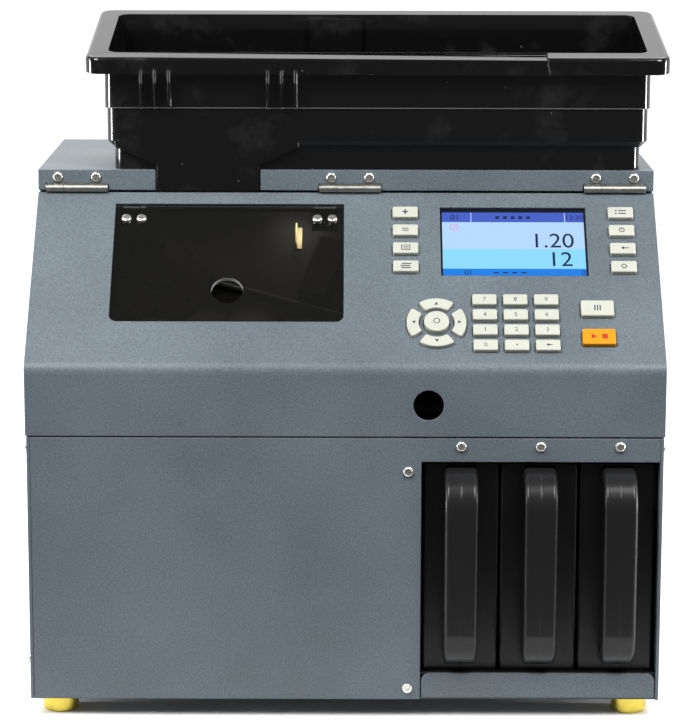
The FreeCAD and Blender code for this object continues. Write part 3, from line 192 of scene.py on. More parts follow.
def hopper_abs():
    """Black ABS from a polished mould: near mirror gloss, a slow waviness, dull paler patches left by hands,
    specks of dust, and a pale line painted along the upper tier's lower edge in front as a highlight."""
    material, tree, shader = start("gloss_black_abs", IOR=1.52)
    place = add(tree, "ShaderNodeTexCoord").outputs["Object"]
    hands = add(tree, "ShaderNodeTexNoise", {"Vector": place, "Scale": per_metre(38.0), "Detail": 5.0,
                                             "Roughness": 0.62})
    dull = add(tree, "ShaderNodeMapRange", {"Value": hands.outputs[0], "From Min": 0.42,
                                            "From Max": 0.72, "To Min": 0.06, "To Max": 0.2})
    smudge = add(tree, "ShaderNodeMapRange",
                 {"Value": hands.outputs[0], "From Min": 0.54, "From Max": 0.78})
    tint = add(tree, "ShaderNodeMix",
               {SHARE: smudge.outputs[0], FIRST: linear("#0b0b0c"), SECOND: linear("#232323")},
               data_type="RGBA")
    # Painted highlight: a pale line that stands in for light caught by the upper tier's rounded lower edge in
    # front. It is under 1 mm high, with its middle 0.3 mm above the edge
    parts = add(tree, "ShaderNodeSeparateXYZ", {0: place})
    above = add(tree, "ShaderNodeMath", {0: parts.outputs["Z"], 1: TIER_EDGE + 0.3 * MM},
                operation="SUBTRACT")
    off = add(tree, "ShaderNodeMath", {0: above.outputs[0]}, operation="ABSOLUTE")
    line = add(tree, "ShaderNodeMapRange",
               {"Value": off.outputs[0], "From Min": 0.5 * MM, "From Max": 0.25 * MM})
    front = add(tree, "ShaderNodeMapRange", {"Value": parts.outputs["Y"],
                                             "From Min": TIER_FRONT + 1.0 * MM,
                                             "From Max": TIER_FRONT + 0.6 * MM})
    # Share of the painted highlight: on the line, and only in front
    worn = add(tree, "ShaderNodeMath", {0: line.outputs[0], 1: front.outputs[0]}, operation="MULTIPLY")
    with_painted_step_highlight = add(tree, "ShaderNodeMix",
                {SHARE: worn.outputs[0], FIRST: tint.outputs[MIXED], SECOND: linear("#565656")},
                data_type="RGBA")
    specks = add(tree, "ShaderNodeTexVoronoi", {"Vector": place, "Scale": per_metre(17.0)})
    dust = add(tree, "ShaderNodeMapRange", {"Value": specks.outputs["Distance"], "From Min": 0.045,
                                            "From Max": 0.02, "To Max": 0.5})
    dusty = add(tree, "ShaderNodeMix",
                {SHARE: dust.outputs[0], FIRST: with_painted_step_highlight.outputs[MIXED], SECOND: linear("#6a6a68")},
                data_type="RGBA")
    wave = add(tree, "ShaderNodeTexNoise", {"Vector": place, "Scale": per_metre(24.0), "Detail": 1.0})
    edge = add(tree, "ShaderNodeBevel", {"Radius": MOULD_RADIUS}, samples=4)
    bump = add(tree, "ShaderNodeBump", {"Height": wave.outputs[0], "Strength": 0.2,
                                        "Distance": 0.2 * MM, "Normal": edge.outputs[0]})
    wire(tree, shader, Base_Color=dusty.outputs[MIXED], Roughness=dull.outputs[0],
         Normal=bump.outputs[0])
    return material


def box_abs():
    """Black ABS coin boxes: a fine spark-eroded grain on the walls, glossier handles worn by hands, walls behind
    the handles darker as painted shade, and the mould's parting line down the middle of each handle. The grain is
    drawn at 0.9 mm to show."""
    material, tree, shader = start("satin_black_abs", IOR=1.5, Specular_IOR_Level=0.3)
    place = add(tree, "ShaderNodeTexCoord").outputs["Object"]
    parts = add(tree, "ShaderNodeSeparateXYZ", {0: place})
    grain = add(tree, "ShaderNodeTexNoise", {"Vector": place, "Scale": per_metre(0.9), "Detail": 2.0})
    handle = add(tree, "ShaderNodeMapRange", {"Value": parts.outputs["Y"],
                                              "From Min": HANDLE_BACK + 2.0 * MM,
                                              "From Max": HANDLE_BACK})
    rough = add(tree, "ShaderNodeMapRange", {"Value": handle.outputs[0], "To Min": 0.34, "To Max": 0.26})
    # Painted shade: the walls behind the handles are drawn near black, darker than the handles of the same
    # moulding
    handle_and_shaded_walls_tint = add(tree, "ShaderNodeMix",
               {SHARE: handle.outputs[0], FIRST: linear("#030303"), SECOND: linear("#1b1b1c")},
               data_type="RGBA")
    # Distance from the middle of the nearest handle, from X counted round by the boxes' pitch
    step = add(tree, "ShaderNodeMath", {0: parts.outputs["X"], 1: FIRST_HANDLE - BOX_PITCH / 2},
               operation="SUBTRACT")
    wrap = add(tree, "ShaderNodeMath", {0: step.outputs[0], 1: BOX_PITCH}, operation="FLOORED_MODULO")
    off = add(tree, "ShaderNodeMath", {0: wrap.outputs[0], 1: BOX_PITCH / 2}, operation="SUBTRACT")
    near = add(tree, "ShaderNodeMath", {0: off.outputs[0]}, operation="ABSOLUTE")
    seam = add(tree, "ShaderNodeMapRange",
               {"Value": near.outputs[0], "From Min": 0.55 * MM, "From Max": 0.2 * MM})
    line = add(tree, "ShaderNodeMath", {0: seam.outputs[0], 1: handle.outputs[0]}, operation="MULTIPLY")
    high = add(tree, "ShaderNodeMath", {0: grain.outputs[0], 1: 0.25, 2: line.outputs[0]},
               operation="MULTIPLY_ADD")
    bump = add(tree, "ShaderNodeBump",
               {"Height": high.outputs[0], "Strength": 0.5, "Distance": 0.25 * MM})
    wire(tree, shader, Base_Color=handle_and_shaded_walls_tint.outputs[MIXED], Roughness=rough.outputs[0],
         Normal=bump.outputs[0])
    return material


def matt_black_moulding():
    """Glass-filled black nylon, moulded with a dry grain: dull, slightly mottled. Grain drawn at 0.8 mm."""
    material, tree, shader = start("matt_black_nylon", IOR=1.53)
    place = add(tree, "ShaderNodeTexCoord").outputs["Object"]
    grain = add(tree, "ShaderNodeTexNoise", {"Vector": place, "Scale": per_metre(0.8), "Detail": 3.0})
    two_tone(tree, shader, grain.outputs[0], "#131313", "#232323", 0.5, 0.7)
    bump = add(tree, "ShaderNodeBump",
               {"Height": grain.outputs[0], "Strength": 0.3, "Distance": 0.1 * MM})
    wire(tree, shader, Normal=bump.outputs[0])
    return material


def zinc_plate(name, dark, pale, smooth, dull):
    """Zinc plate on steel: silvery, faintly warm, with fine handling marks; smooth on screws, duller on
    the rolled hinges."""
    material, tree, shader = start(name, Metallic=1.0)
    place = add(tree, "ShaderNodeTexCoord").outputs["Object"]
    marks = add(tree, "ShaderNodeTexNoise", {"Vector": place, "Scale": per_metre(1.6), "Detail": 4.0})
    two_tone(tree, shader, marks.outputs[0], dark, pale, smooth, dull)
    return material


def blackened_steel():
    """Steel leaves with a black oxide finish: nearly black, dull, with slightly browner patches."""
    material, tree, shader = start("black_oxide_steel", IOR=1.5)
    place = add(tree, "ShaderNodeTexCoord").outputs["Object"]
    patch = add(tree, "ShaderNodeTexNoise", {"Vector": place, "Scale": per_metre(5.0), "Detail": 4.0})
    two_tone(tree, shader, patch.outputs[0], "#0b0b0c", "#1a1816", 0.4, 0.6)
    return material


def sawn_acrylic():
    """The acrylic's sawn edge: frosted grey that catches the light, with saw marks drawn 0.6 mm apart."""
    material, tree, shader = start("sawn_acrylic_edge", IOR=1.49)
    place = add(tree, "ShaderNodeTexCoord").outputs["Object"]
    marks = add(tree, "ShaderNodeTexNoise", {"Vector": place, "Scale": per_metre(0.6), "Detail": 2.0})
    two_tone(tree, shader, marks.outputs[0], "#9a9a94", "#dcdcd6", 0.3, 0.55)
    return material


def worked_brass(name, dark, pale):
    """Brass with tool marks across its height, drawn about 1.6 mm apart to show: yellow-green on the
    turned feet, paler on the rolled strip. A band texture of scale 1 repeats each tau / 20."""
    material, tree, shader = start(name, Metallic=1.0)
    place = add(tree, "ShaderNodeTexCoord").outputs["Object"]
    rings = add(tree, "ShaderNodeTexWave", {"Vector": place, "Scale": per_metre(1.5791) * math.tau / 20,
                                            "Distortion": 0.4}, bands_direction="Z")
    spots = add(tree, "ShaderNodeTexNoise", {"Vector": place, "Scale": per_metre(4.0), "Detail": 3.0})
    two_tone(tree, shader, spots.outputs[0], dark, pale, 0.26, 0.4)
    bump = add(tree, "ShaderNodeBump",
               {"Height": rings.outputs[1], "Strength": 0.25, "Distance": 0.1 * MM})
    wire(tree, shader, Normal=bump.outputs[0])
    return material


def smoked_acrylic():
    """Cast acrylic sheet with a brown smoke tint: polished faces with a trace of wiping haze, and painted shade
    along the upper edge, as a dark, dull band."""
    material, tree, shader = start("smoked_acrylic", IOR=1.49, Transmission_Weight=1.0)
    place = add(tree, "ShaderNodeTexCoord").outputs["Object"]
    haze = add(tree, "ShaderNodeTexNoise", {"Vector": place, "Scale": per_metre(30.0), "Detail": 4.0})
    rough = add(tree, "ShaderNodeMapRange", {"Value": haze.outputs[0], "From Min": 0.4,
                                             "From Max": 0.75, "To Min": 0.02, "To Max": 0.1})
    tint = add(tree, "ShaderNodeMix",
               {SHARE: haze.outputs[0], FIRST: linear("#8f8b80"), SECOND: linear("#9c988e")},
               data_type="RGBA")
    # Painted shade: a band about 2 mm deep under the window's upper edge is darkened and dulled
    up = add(tree, "ShaderNodeVectorMath", {0: place, 1: UP_SLOPE.tolist()}, operation="DOT_PRODUCT")
    painted_shade_band = add(tree, "ShaderNodeMapRange", {"Value": up.outputs["Value"], "From Min": SHADED_TOP_FROM,
                                               "From Max": SHADED_TOP_FULLY})
    dark = add(tree, "ShaderNodeMix",
               {SHARE: painted_shade_band.outputs[0], FIRST: tint.outputs[MIXED], SECOND: linear("#141311")},
               data_type="RGBA")
    both = add(tree, "ShaderNodeMix",
               {SHARE: painted_shade_band.outputs[0], FIRST_VALUE: rough.outputs[0], SECOND_VALUE: 0.75})
    wire(tree, shader, Base_Color=dark.outputs[MIXED], Roughness=both.outputs[0])
    return material


def display_body():
    """Black glass and metal frame of the display module: a smooth dark border with faint streaks."""
    material, tree, shader = start("black_display_glass", IOR=1.5)
    place = add(tree, "ShaderNodeTexCoord").outputs["Object"]
    streaks = add(tree, "ShaderNodeTexNoise",
                  {"Vector": place, "Scale": per_metre(12.0), "Detail": 3.0})
    two_tone(tree, shader, streaks.outputs[0], "#0a0b0e", "#15171b", 0.08, 0.2)
    return material


# The screen's colours by the height up the sheet where each begins: blue footing, cyan field,
# pale field, blue heading, dark edge
SCREEN_BANDS = ((0.0, "#1a80e6"), (0.115, "#8edcfd"), (0.405, "#b6dafc"), (0.805, "#4560c6"),
                (0.95, "#0a0d1c"))


def lit_screen():
    """Backlit colour display: flat bands of light under glass, chosen by the height up the sheet, with a
    dark border at both sides."""
    material, tree, shader = start("lit_display", Base_Color=linear("#05070c"), Roughness=0.18,
                                   Emission_Strength=1.0, IOR=1.5)
    sheet = add(tree, "ShaderNodeUVMap", uv_map="screen").outputs[0]
    parts = add(tree, "ShaderNodeSeparateXYZ", {0: sheet})
    bands = add(tree, "ShaderNodeValToRGB", {0: parts.outputs["Y"]})
    ramp = bands.color_ramp
    ramp.interpolation = "CONSTANT"
    ramp.elements.remove(ramp.elements[1])
    first_start, first_colour = SCREEN_BANDS[0]
    ramp.elements[0].position, ramp.elements[0].color = first_start, linear(first_colour)
    for position, colour in SCREEN_BANDS[1:]:
        ramp.elements.new(position).color = linear(colour)
    sides = add(tree, "ShaderNodeMath", {0: parts.outputs["X"], 1: 0.5}, operation="SUBTRACT")
    off = add(tree, "ShaderNodeMath", {0: sides.outputs[0]}, operation="ABSOLUTE")
    border = add(tree, "ShaderNodeMapRange",
                 {"Value": off.outputs[0], "From Min": 0.488, "From Max": 0.492})
    light = add(tree, "ShaderNodeMix",
                {SHARE: border.outputs[0], FIRST: bands.outputs[0], SECOND: linear("#0a0d1c")},
                data_type="RGBA")
    wire(tree, shader, Emission_Color=light.outputs[MIXED])
    return material


def solder_mask():
    """Fibreglass board under green solder mask: copper runs show as paler green lines about 5 mm apart."""
    material, tree, shader = start("green_solder_mask", IOR=1.5)
    place = add(tree, "ShaderNodeTexCoord").outputs["Object"]
    runs = add(tree, "ShaderNodeTexVoronoi", {"Vector": place, "Scale": per_metre(5.0)},
               feature="DISTANCE_TO_EDGE")
    line = add(tree, "ShaderNodeMapRange",
               {"Value": runs.outputs[0], "From Min": 0.06, "From Max": 0.03})
    two_tone(tree, shader, line.outputs[0], "#12512f", "#2f7a4c", 0.35, 0.28)
    return material


def drawn_steel():
    """Deep-drawn steel motor cans: satin grey, with draw marks along the can, drawn at 0.7 mm to show."""
    material, tree, shader = start("drawn_motor_steel", Metallic=1.0)
    place = add(tree, "ShaderNodeTexCoord").outputs["Object"]
    along = add(tree, "ShaderNodeMapping",
                {"Vector": place, "Rotation": (SLOPE, 0.0, 0.0),
                 "Scale": (per_metre(0.7), per_metre(0.7), per_metre(20.0))})
    draw = add(tree, "ShaderNodeTexNoise", {"Vector": along.outputs[0], "Scale": 1.0, "Detail": 2.0})
    two_tone(tree, shader, draw.outputs[0], "#6c6f73", "#9a9da0", 0.32, 0.5)
    return material


def brushed_aluminium():
    """Aluminium brushed along X: a silky grain in one direction, drawn at 0.8 mm across to show."""
    material, tree, shader = start("brushed_aluminium", Metallic=1.0)
    place = add(tree, "ShaderNodeTexCoord").outputs["Object"]
    along = add(tree, "ShaderNodeMapping",
                {"Vector": place, "Scale": (per_metre(30.0), per_metre(0.8), per_metre(0.8))})
    grain = add(tree, "ShaderNodeTexNoise", {"Vector": along.outputs[0], "Scale": 1.0, "Detail": 3.0})
    two_tone(tree, shader, grain.outputs[0], "#9c9da0", "#c9cacc", 0.28, 0.45)
    return material


def key_abs(name, pale, shaded):
    """ABS key caps with a fine spark-eroded grain: soft sheen, a little yellowed in patches.
    The grain is drawn at 0.7 mm to show."""
    material, tree, shader = start(name, IOR=1.5, Specular_IOR_Level=0.3)
    place = add(tree, "ShaderNodeTexCoord").outputs["Object"]
    grain = add(tree, "ShaderNodeTexNoise", {"Vector": place, "Scale": per_metre(0.7), "Detail": 2.0})
    patch = add(tree, "ShaderNodeTexNoise", {"Vector": place, "Scale": per_metre(9.0), "Detail": 2.0})
    tint = add(tree, "ShaderNodeMix",
               {SHARE: patch.outputs[0], FIRST: linear(shaded), SECOND: linear(pale)}, data_type="RGBA")
    rough = add(tree, "ShaderNodeMapRange", {"Value": grain.outputs[0], "To Min": 0.34, "To Max": 0.5})
    bump = add(tree, "ShaderNodeBump",
               {"Height": grain.outputs[0], "Strength": 0.2, "Distance": 0.06 * MM})
    wire(tree, shader, Base_Color=tint.outputs[MIXED], Roughness=rough.outputs[0],
         Normal=bump.outputs[0])
    return material


def pad_ink(name, colour, thin):
    """Pad-printed ink: even colour, a little thinner in patches about 0.6 mm across."""
    material, tree, shader = start(name, Roughness=0.5, IOR=1.5, Specular_IOR_Level=0.2)
    place = add(tree, "ShaderNodeTexCoord").outputs["Object"]
    patch = add(tree, "ShaderNodeTexNoise", {"Vector": place, "Scale": per_metre(0.6), "Detail": 1.0})
    tint = add(tree, "ShaderNodeMix",
               {SHARE: patch.outputs[0], FIRST: linear(colour), SECOND: linear(thin)}, data_type="RGBA")
    wire(tree, shader, Base_Color=tint.outputs[MIXED])
    return material


def filter_felt():
    """Needled grey felt of the dust filters: matt, with fibres drawn 0.5 mm across and darker between."""
    material, tree, shader = start("needled_felt", IOR=1.5, Specular_IOR_Level=0.1)
    place = add(tree, "ShaderNodeTexCoord").outputs["Object"]
    fibres = add(tree, "ShaderNodeTexNoise", {"Vector": place, "Scale": per_metre(0.5), "Detail": 4.0})
    two_tone(tree, shader, fibres.outputs[0], "#161718", "#2e3032", 0.8, 1.0)
    bump = add(tree, "ShaderNodeBump",
               {"Height": fibres.outputs[0], "Strength": 0.5, "Distance": 0.2 * MM})
    wire(tree, shader, Normal=bump.outputs[0])
    return material


box_black = box_abs()
black_oxide = blackened_steel()
zinc = zinc_plate("bright_zinc_plate", "#ccc9c0", "#f2f0e8", 0.22, 0.4)
hinge_zinc = zinc_plate("dull_zinc_plate", "#8f8d85", "#c2c0b8", 0.3, 0.5)
aluminium = brushed_aluminium()
grey_ink = pad_ink("grey_pad_ink", "#2c3140", "#474d5c")
red_ink = pad_ink("red_pad_ink", "#a02812", "#ae3a20")
pale_ink = pad_ink("white_pad_ink", "#e8e8e4", "#d6d6d0")
navy_cells = pad_ink("dark_display_cells", "#051338", "#0a1c48")
rose_cells = pad_ink("rose_display_cells", "#b0508c", "#bd6a9c")
blue_cells = pad_ink("pale_display_cells", "#8fa4ea", "#9fb2ee")

# The finish of each material slot, and of the nodes that have one of their own
FINISHES = {
    "painted_steel": powder_coated_steel(),
    "black_plastic": hopper_abs(),
    "zinc_steel": zinc,
    "brass": worked_brass("turned_brass", "#bfa93e", "#e2ce64"),
    "smoked_acrylic": smoked_acrylic(),
    "display_glass": display_body(),
    "circuit_board": solder_mask(),
    "matte_black_plastic": matt_black_moulding(),
    "motor_steel": drawn_steel(),
    "aluminium": aluminium,
    "orange_key": key_abs("orange_key_abs", "#cd8800", "#c58000"),
    "white_key": key_abs("white_key_abs", "#b6b7ac", "#abaca1"),
}
OWN_FINISHES = {
    "box_bay": bay_coated_steel(),
    "coin_box_1": box_black,
    "coin_box_2": box_black,
    "coin_box_3": box_black,
    "window_leaves": black_oxide,
    "window_brackets": black_oxide,
    "sensor_bracket": worked_brass("rolled_brass", "#cdb987", "#eee2bb"),
    "hinge_fixed_leaves": hinge_zinc,
    "hinge_lid_leaves": hinge_zinc,
}
for part in frame["record"]["subparts"]:
    node = part["node"]
    mesh = frame["nodes"][node].data
    mesh.materials.clear()
    mesh.materials.append(OWN_FINISHES.get(node, FINISHES[part["material_slot"]]))


def laid(flat, origin, right, up, lift=INK_LIFT):
    """Flat points in millimetres, laid on the plane of two directions and lifted off it."""
    flat = np.asarray(flat, float) * MM
    return origin + np.outer(flat[:, 0], right) + np.outer(flat[:, 1], up) + lift * np.cross(right, up)


def on_slope(flat, middle, lift=INK_LIFT):
    """Flat points in millimetres, laid on the slope round a middle given across, up and out."""
    x, s, n = middle
    return laid(flat, x * ACROSS + s * UP_SLOPE + n * OUT_OF_SLOPE, ACROSS, UP_SLOPE, lift)


def piece(name, points, faces, material, body, slot):
    """A mesh piece at the origin, with its place in its points, riding on a body."""
    mesh = bpy.data.meshes.new(name)
    mesh.from_pydata(points.tolist(), [], faces)
    mesh.materials.append(material)
    made = bpy.data.objects.new(name, mesh)
    bpy.context.scene.collection.objects.link(made)
    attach(made, body)
    return made


def grid_faces(rows, columns, closed=False):
    """Four-sided faces between neighbours in a grid of points counted row by row; closed joins the end of
    each row to its start."""
    row, column = np.meshgrid(np.arange(rows - 1), np.arange(columns if closed else columns - 1),
                              indexing="ij")
    here = (row * columns + column).ravel()
    beside = (row * columns + (column + 1) % columns).ravel()
    return np.stack([here, beside, beside + columns, here + columns], 1)


def carried(profiles):
    """A closed profile carried along a path: rows of its corners at each stop, with faces between
    neighbouring stops and a cap on both ends."""
    stops, corners, _ = profiles.shape
    first_cap = list(range(corners))[::-1]
    last_cap = list(range((stops - 1) * corners, stops * corners))
    faces = grid_faces(stops, corners, closed=True).tolist()
    return profiles.reshape(-1, 3), faces + [first_cap, last_cap]


def circle(radius, count):
    """Evenly spaced points round a circle, from the cosine and sine of their angle."""
    turn = np.linspace(0, 2 * np.pi, count, endpoint=False)
    return np.stack([np.cos(turn), np.sin(turn)], 1) * radius


def bar(x, y, width, height):
    """A rectangle by its middle, as points and one face."""
    corners = np.array([[-1, -1], [1, -1], [1, 1], [-1, 1]]) * [width / 2, height / 2] + [x, y]
    return corners, [[0, 1, 2, 3]]


def outline(points):
    """A plain outline filled as one face, its corners counted anticlockwise."""
    points = np.asarray(points, float)
    return points, [list(range(len(points)))]


def triangle(size, direction):
    """A filled triangle that points along a direction, in degrees from the X axis."""
    turn = np.radians(np.array([0, 120, 240]) + direction)
    return outline(np.stack([np.cos(turn), np.sin(turn)], 1) * size)


def ring(x, y, outer, inner, count=32):
    """A flat ring: two circles with a face between each pair of steps round them."""
    points = np.vstack([circle(outer, count), circle(inner, count)]) + [x, y]
    return points, grid_faces(2, count, closed=True).tolist()


def letters(text, size):
    """Plain figures from the built-in face as flat points and faces round their own middle."""
    curve = bpy.data.curves.new("figures", "FONT")
    curve.body = text
    curve.size = size
    holder = bpy.data.objects.new("figures", curve)
    bpy.context.scene.collection.objects.link(holder)
    graph = bpy.context.evaluated_depsgraph_get()
    mesh = bpy.data.meshes.new_from_object(holder.evaluated_get(graph))
    points = np.empty(len(mesh.vertices) * 3)
    mesh.vertices.foreach_get("co", points)
    points = points.reshape(-1, 3)[:, :2]
    faces = [list(face.vertices) for face in mesh.polygons]
    bpy.data.objects.remove(holder)
    bpy.data.curves.remove(curve)
    bpy.data.meshes.remove(mesh)
    return points - (points.min(0) + points.max(0)) / 2, faces


def moved(shape, x, y):
    """A flat shape moved to another place."""
    points, faces = shape
    return points + [x, y], faces


def wider(shape, share):
    """A flat shape enlarged about its middle."""
    points, faces = shape
    return points * share, faces


def together(*shapes):
    """Several shapes as one, with the later faces counted on."""
    points, faces, done = [], [], 0
    for shape, corners in shapes:
        points.append(shape)
        faces += [[k + done for k in face] for face in corners]
        done += len(shape)
    return np.vstack(points), faces


# Marks on the keys: figures, arrows and plain signs
KEY_FIGURE = 4.4
SIDE_MARK = 1.4
PLUS = outline([(0.35, 0.35), (0.35, 1.4), (-0.35, 1.4), (-0.35, 0.35), (-1.4, 0.35), (-1.4, -0.35),
                (-0.35, -0.35), (-0.35, -1.4), (0.35, -1.4), (0.35, -0.35), (1.4, -0.35), (1.4, 0.35)])
EQUALS = together(bar(0, 0.6, 3.0, 0.5), bar(0, -0.6, 3.0, 0.5))
SHEET = together(bar(0, 1.3, 4.2, 0.4), bar(0, -1.3, 4.2, 0.4), bar(-1.9, 0, 0.4, 2.2),
                 bar(1.9, 0, 0.4, 2.2), bar(0, 0.3, 2.2, 0.4), bar(0, -0.5, 2.2, 0.4))
STACK = together(bar(0.4, 1.2, 4.4, 0.6), bar(-0.3, 0, 4.4, 0.6), bar(0.2, -1.2, 4.4, 0.6))
LIST = together(bar(-2.2, 0.8, 0.8, 0.8), bar(0.7, 0.8, 3.6, 0.6), bar(-2.2, -0.8, 0.8, 0.8),
                bar(0.7, -0.8, 3.6, 0.6))
DIAL = together(ring(0, 0, 1.4, 0.95), bar(0, 0.55, 0.4, 1.1))
SWAP = together(triangle(1.0, 180), bar(1.6, 0, 2.4, 0.5))
BACK = together(triangle(1.3, 180), bar(1.5, 0, 2.6, 0.6))
STROKES = together(bar(-1.2, 0, 0.6, 3.0), bar(0, 0, 0.6, 3.0), bar(1.2, 0, 0.6, 3.0))
RUN_AND_STOP = together(moved(triangle(1.7, 0), -2.6, 0), bar(2.6, 0, 2.6, 2.6))
MARKS = {
    "key_left_1": wider(PLUS, SIDE_MARK), "key_left_2": wider(EQUALS, SIDE_MARK),
    "key_left_3": wider(SHEET, SIDE_MARK), "key_left_4": wider(STACK, SIDE_MARK),
    "key_right_1": wider(LIST, SIDE_MARK), "key_right_2": wider(DIAL, SIDE_MARK),
    "key_right_3": wider(SWAP, SIDE_MARK), "key_right_4": wider(ring(0, 0, 1.3, 0.8), SIDE_MARK),
    "key_point": ring(0, 0, 0.55, 0.05), "key_back": BACK, "key_clear": wider(STROKES, SIDE_MARK),
    "arrow_right": triangle(1.5, 0), "arrow_up": triangle(1.5, 90),
    "arrow_left": triangle(1.5, 180), "arrow_down": triangle(1.5, 270),
    "key_centre": ring(0, 0, 2.2, 1.6),
    **{"key_" + figure: letters(figure, KEY_FIGURE) for figure in "0123456789"},
    "key_start": wider(RUN_AND_STOP, SIDE_MARK),
}
for key, (flat, faces) in MARKS.items():
    ink = red_ink if key == "key_start" else grey_ink
    slot = "orange_key" if key == "key_start" else "white_key"
    piece(key + "_mark", on_slope(flat, top_middle(key)), faces, ink, key, slot)


def screen_sheet(width, height, columns, rows):
    """A flat grid round its middle, with its shares across and up kept as the sheet's own map."""
    u, v = np.meshgrid(np.linspace(0, 1, columns + 1), np.linspace(0, 1, rows + 1))
    flat = np.stack([(u.ravel() - 0.5) * width, (v.ravel() - 0.5) * height], 1)
    return flat, grid_faces(rows + 1, columns + 1), np.stack([u.ravel(), v.ravel()], 1)


SCREEN_SIZE = (93.6, 55.2)
SCREEN_GRID = (48, 28)
screen_middle = top_middle("display_module")
flat, faces, shares = screen_sheet(*SCREEN_SIZE, *SCREEN_GRID)
screen = piece("display_picture", on_slope(flat, screen_middle), faces.tolist(), lit_screen(),
               "lid", "display_glass")
screen_map = screen.data.uv_layers.new(name="screen")
screen_map.data.foreach_set("uv", shares[faces.ravel()].ravel().astype(np.float32))

# What the screen shows: two counts, small figures, dots and dashes in the heading and footing,
# two rules and a coin sign
HEADING, FOOTING = 20.9, -24.4
COUNT_FIGURE, HEADING_FIGURE, SMALL_FIGURE = 16.6, 6.2, 5.4
SIGN_PLACE = (-38.0, 12.6)
counts = [moved(letters("1.20", COUNT_FIGURE), 26.5, 1.9),
          moved(letters("12", COUNT_FIGURE), 31.0, -13.2)]
small = [moved(letters("01", HEADING_FIGURE), -38.0, HEADING),
         moved(letters("12:30", SMALL_FIGURE), 40.2, HEADING),
         moved(letters("01", SMALL_FIGURE), -30.0, FOOTING),
         moved(letters("0", SMALL_FIGURE), 44.0, FOOTING)]
dots = [bar(x, HEADING, 2.4, 2.4) for x in (-10.0, -5.0, 0.0, 5.0, 10.0)]
dashes = [bar(x, FOOTING, 3.4, 1.0) for x in (-12.0, -6.0, 0.0, 6.0)]
rules = [bar(x, HEADING, 0.5, 7.8) for x in (-27.1, 33.7)]
coin_sign = [ring(*SIGN_PLACE, 2.8, 2.35), bar(*SIGN_PLACE, 1.6, 0.5)]
for word, shapes, cells in (("figures", counts + small + dots + dashes, navy_cells),
                            ("rules", rules, blue_cells),
                            ("coin_sign", coin_sign, rose_cells)):
    flat, faces = together(*shapes)
    piece("display_" + word, on_slope(flat, screen_middle, 2 * INK_LIFT), faces, cells,
          "lid", "display_glass")

# Rocker marks: a stroke on the half that is pressed in, a ring on the half that stands out
ROCKER_DEPTH = 8.0 * MM
ROCKER_REACH = 3.3 * MM
ROCKER_LEAN = math.radians(8.0)
LEFT = np.array([-1.0, 0.0, 0.0])
rocker = next(joint for joint in frame["joints"] if joint["name"] == "rocker_tilt")
outwards = np.array([0, math.cos(ROCKER_LEAN), -math.sin(ROCKER_LEAN)])
crease = np.array(rocker["pos_m"]) + ROCKER_DEPTH / 2 * outwards
pressed = np.array([0.0, 0.0, 1.0])
proud = np.array([0.0, math.sin(2 * ROCKER_LEAN), math.cos(2 * ROCKER_LEAN)])
stroke, stroke_faces = bar(0, 0, 0.9, 3.2)
loop, loop_faces = ring(0, 0, 1.7, 1.15)
marks = together((laid(stroke, crease - ROCKER_REACH * pressed, LEFT, pressed), stroke_faces),
                 (laid(loop, crease + ROCKER_REACH * proud, LEFT, proud), loop_faces))
piece("rocker_marks", *marks, pale_ink, "power_rocker", "matte_black_plastic")

# Plated blades over the inlet's pins, a hair thicker than the pins. Depths are from the inlet's face.
PIN_PITCH = 7.0 * MM
PIN_RAISE = 2.0 * MM
PIN_FOOT = 16.9 * MM
PIN_TIP = 3.95 * MM
SOCKET_DROP = 12.0 * MM
BLADE_WIDTH, BLADE_HEIGHT = 2.1 * MM, 4.1 * MM
BLADE_TAPER = 1.2 * MM
TIP_SHARE = 0.6


def blade(x, z, foot, tip):
    """A contact blade: a rectangle carried along Y and drawn in over the last stretch to its tip."""
    corners = np.array([[-1, -1], [-1, 1], [1, 1], [1, -1]]) * [BLADE_WIDTH / 2, BLADE_HEIGHT / 2]
    stops = [(foot, 1.0), (tip - BLADE_TAPER, 1.0), (tip, TIP_SHARE)]
    return carried(np.stack([np.insert(corners * share + [x, z], 1, y, axis=1) for y, share in stops]))


inlet_low, inlet_high = (np.array(corner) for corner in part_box("mains_inlet"))
inlet_x, _, inlet_z = (inlet_low + inlet_high) / 2
inlet_face = inlet_high[1]
blades = [blade(inlet_x + side * PIN_PITCH, inlet_z - SOCKET_DROP + raised,
                inlet_face - PIN_FOOT, inlet_face - PIN_TIP)
          for side, raised in ((-1, -PIN_RAISE), (0, PIN_RAISE), (1, -PIN_RAISE))]
piece("inlet_blades", *together(*blades), zinc, "cabinet", "zinc_steel")

# Dust filters behind the two rows of vents in the rear panel: where each row starts and ends across
VENTS = ((-0.08345, -0.02345), (0.01655, 0.07655))
VENT_LOW, VENT_HIGH = 0.213, 0.288
PANEL_THICKNESS = 1.5 * MM
FILTER_GAP = 0.1 * MM
FILTER_MARGIN = 3.0 * MM
PLEAT_DEPTH = 2.0 * MM
PLEATS = 16
FELT_THICKNESS = 1.0 * MM


def pleated_pad(left, right, low, high, y):
    """A pleated felt pad: an upright rectangle as thick as the felt, carried along a zigzag across X."""
    stops = 2 * PLEATS + 1
    x = np.linspace(left, right, stops)
    outside = y - PLEAT_DEPTH * (np.arange(stops) % 2)
    inside = outside - FELT_THICKNESS
    corners = ((outside, low), (outside, high), (inside, high), (inside, low))
    return carried(np.stack([np.stack([x, depth, np.full(stops, z)], 1) for depth, z in corners], 1))


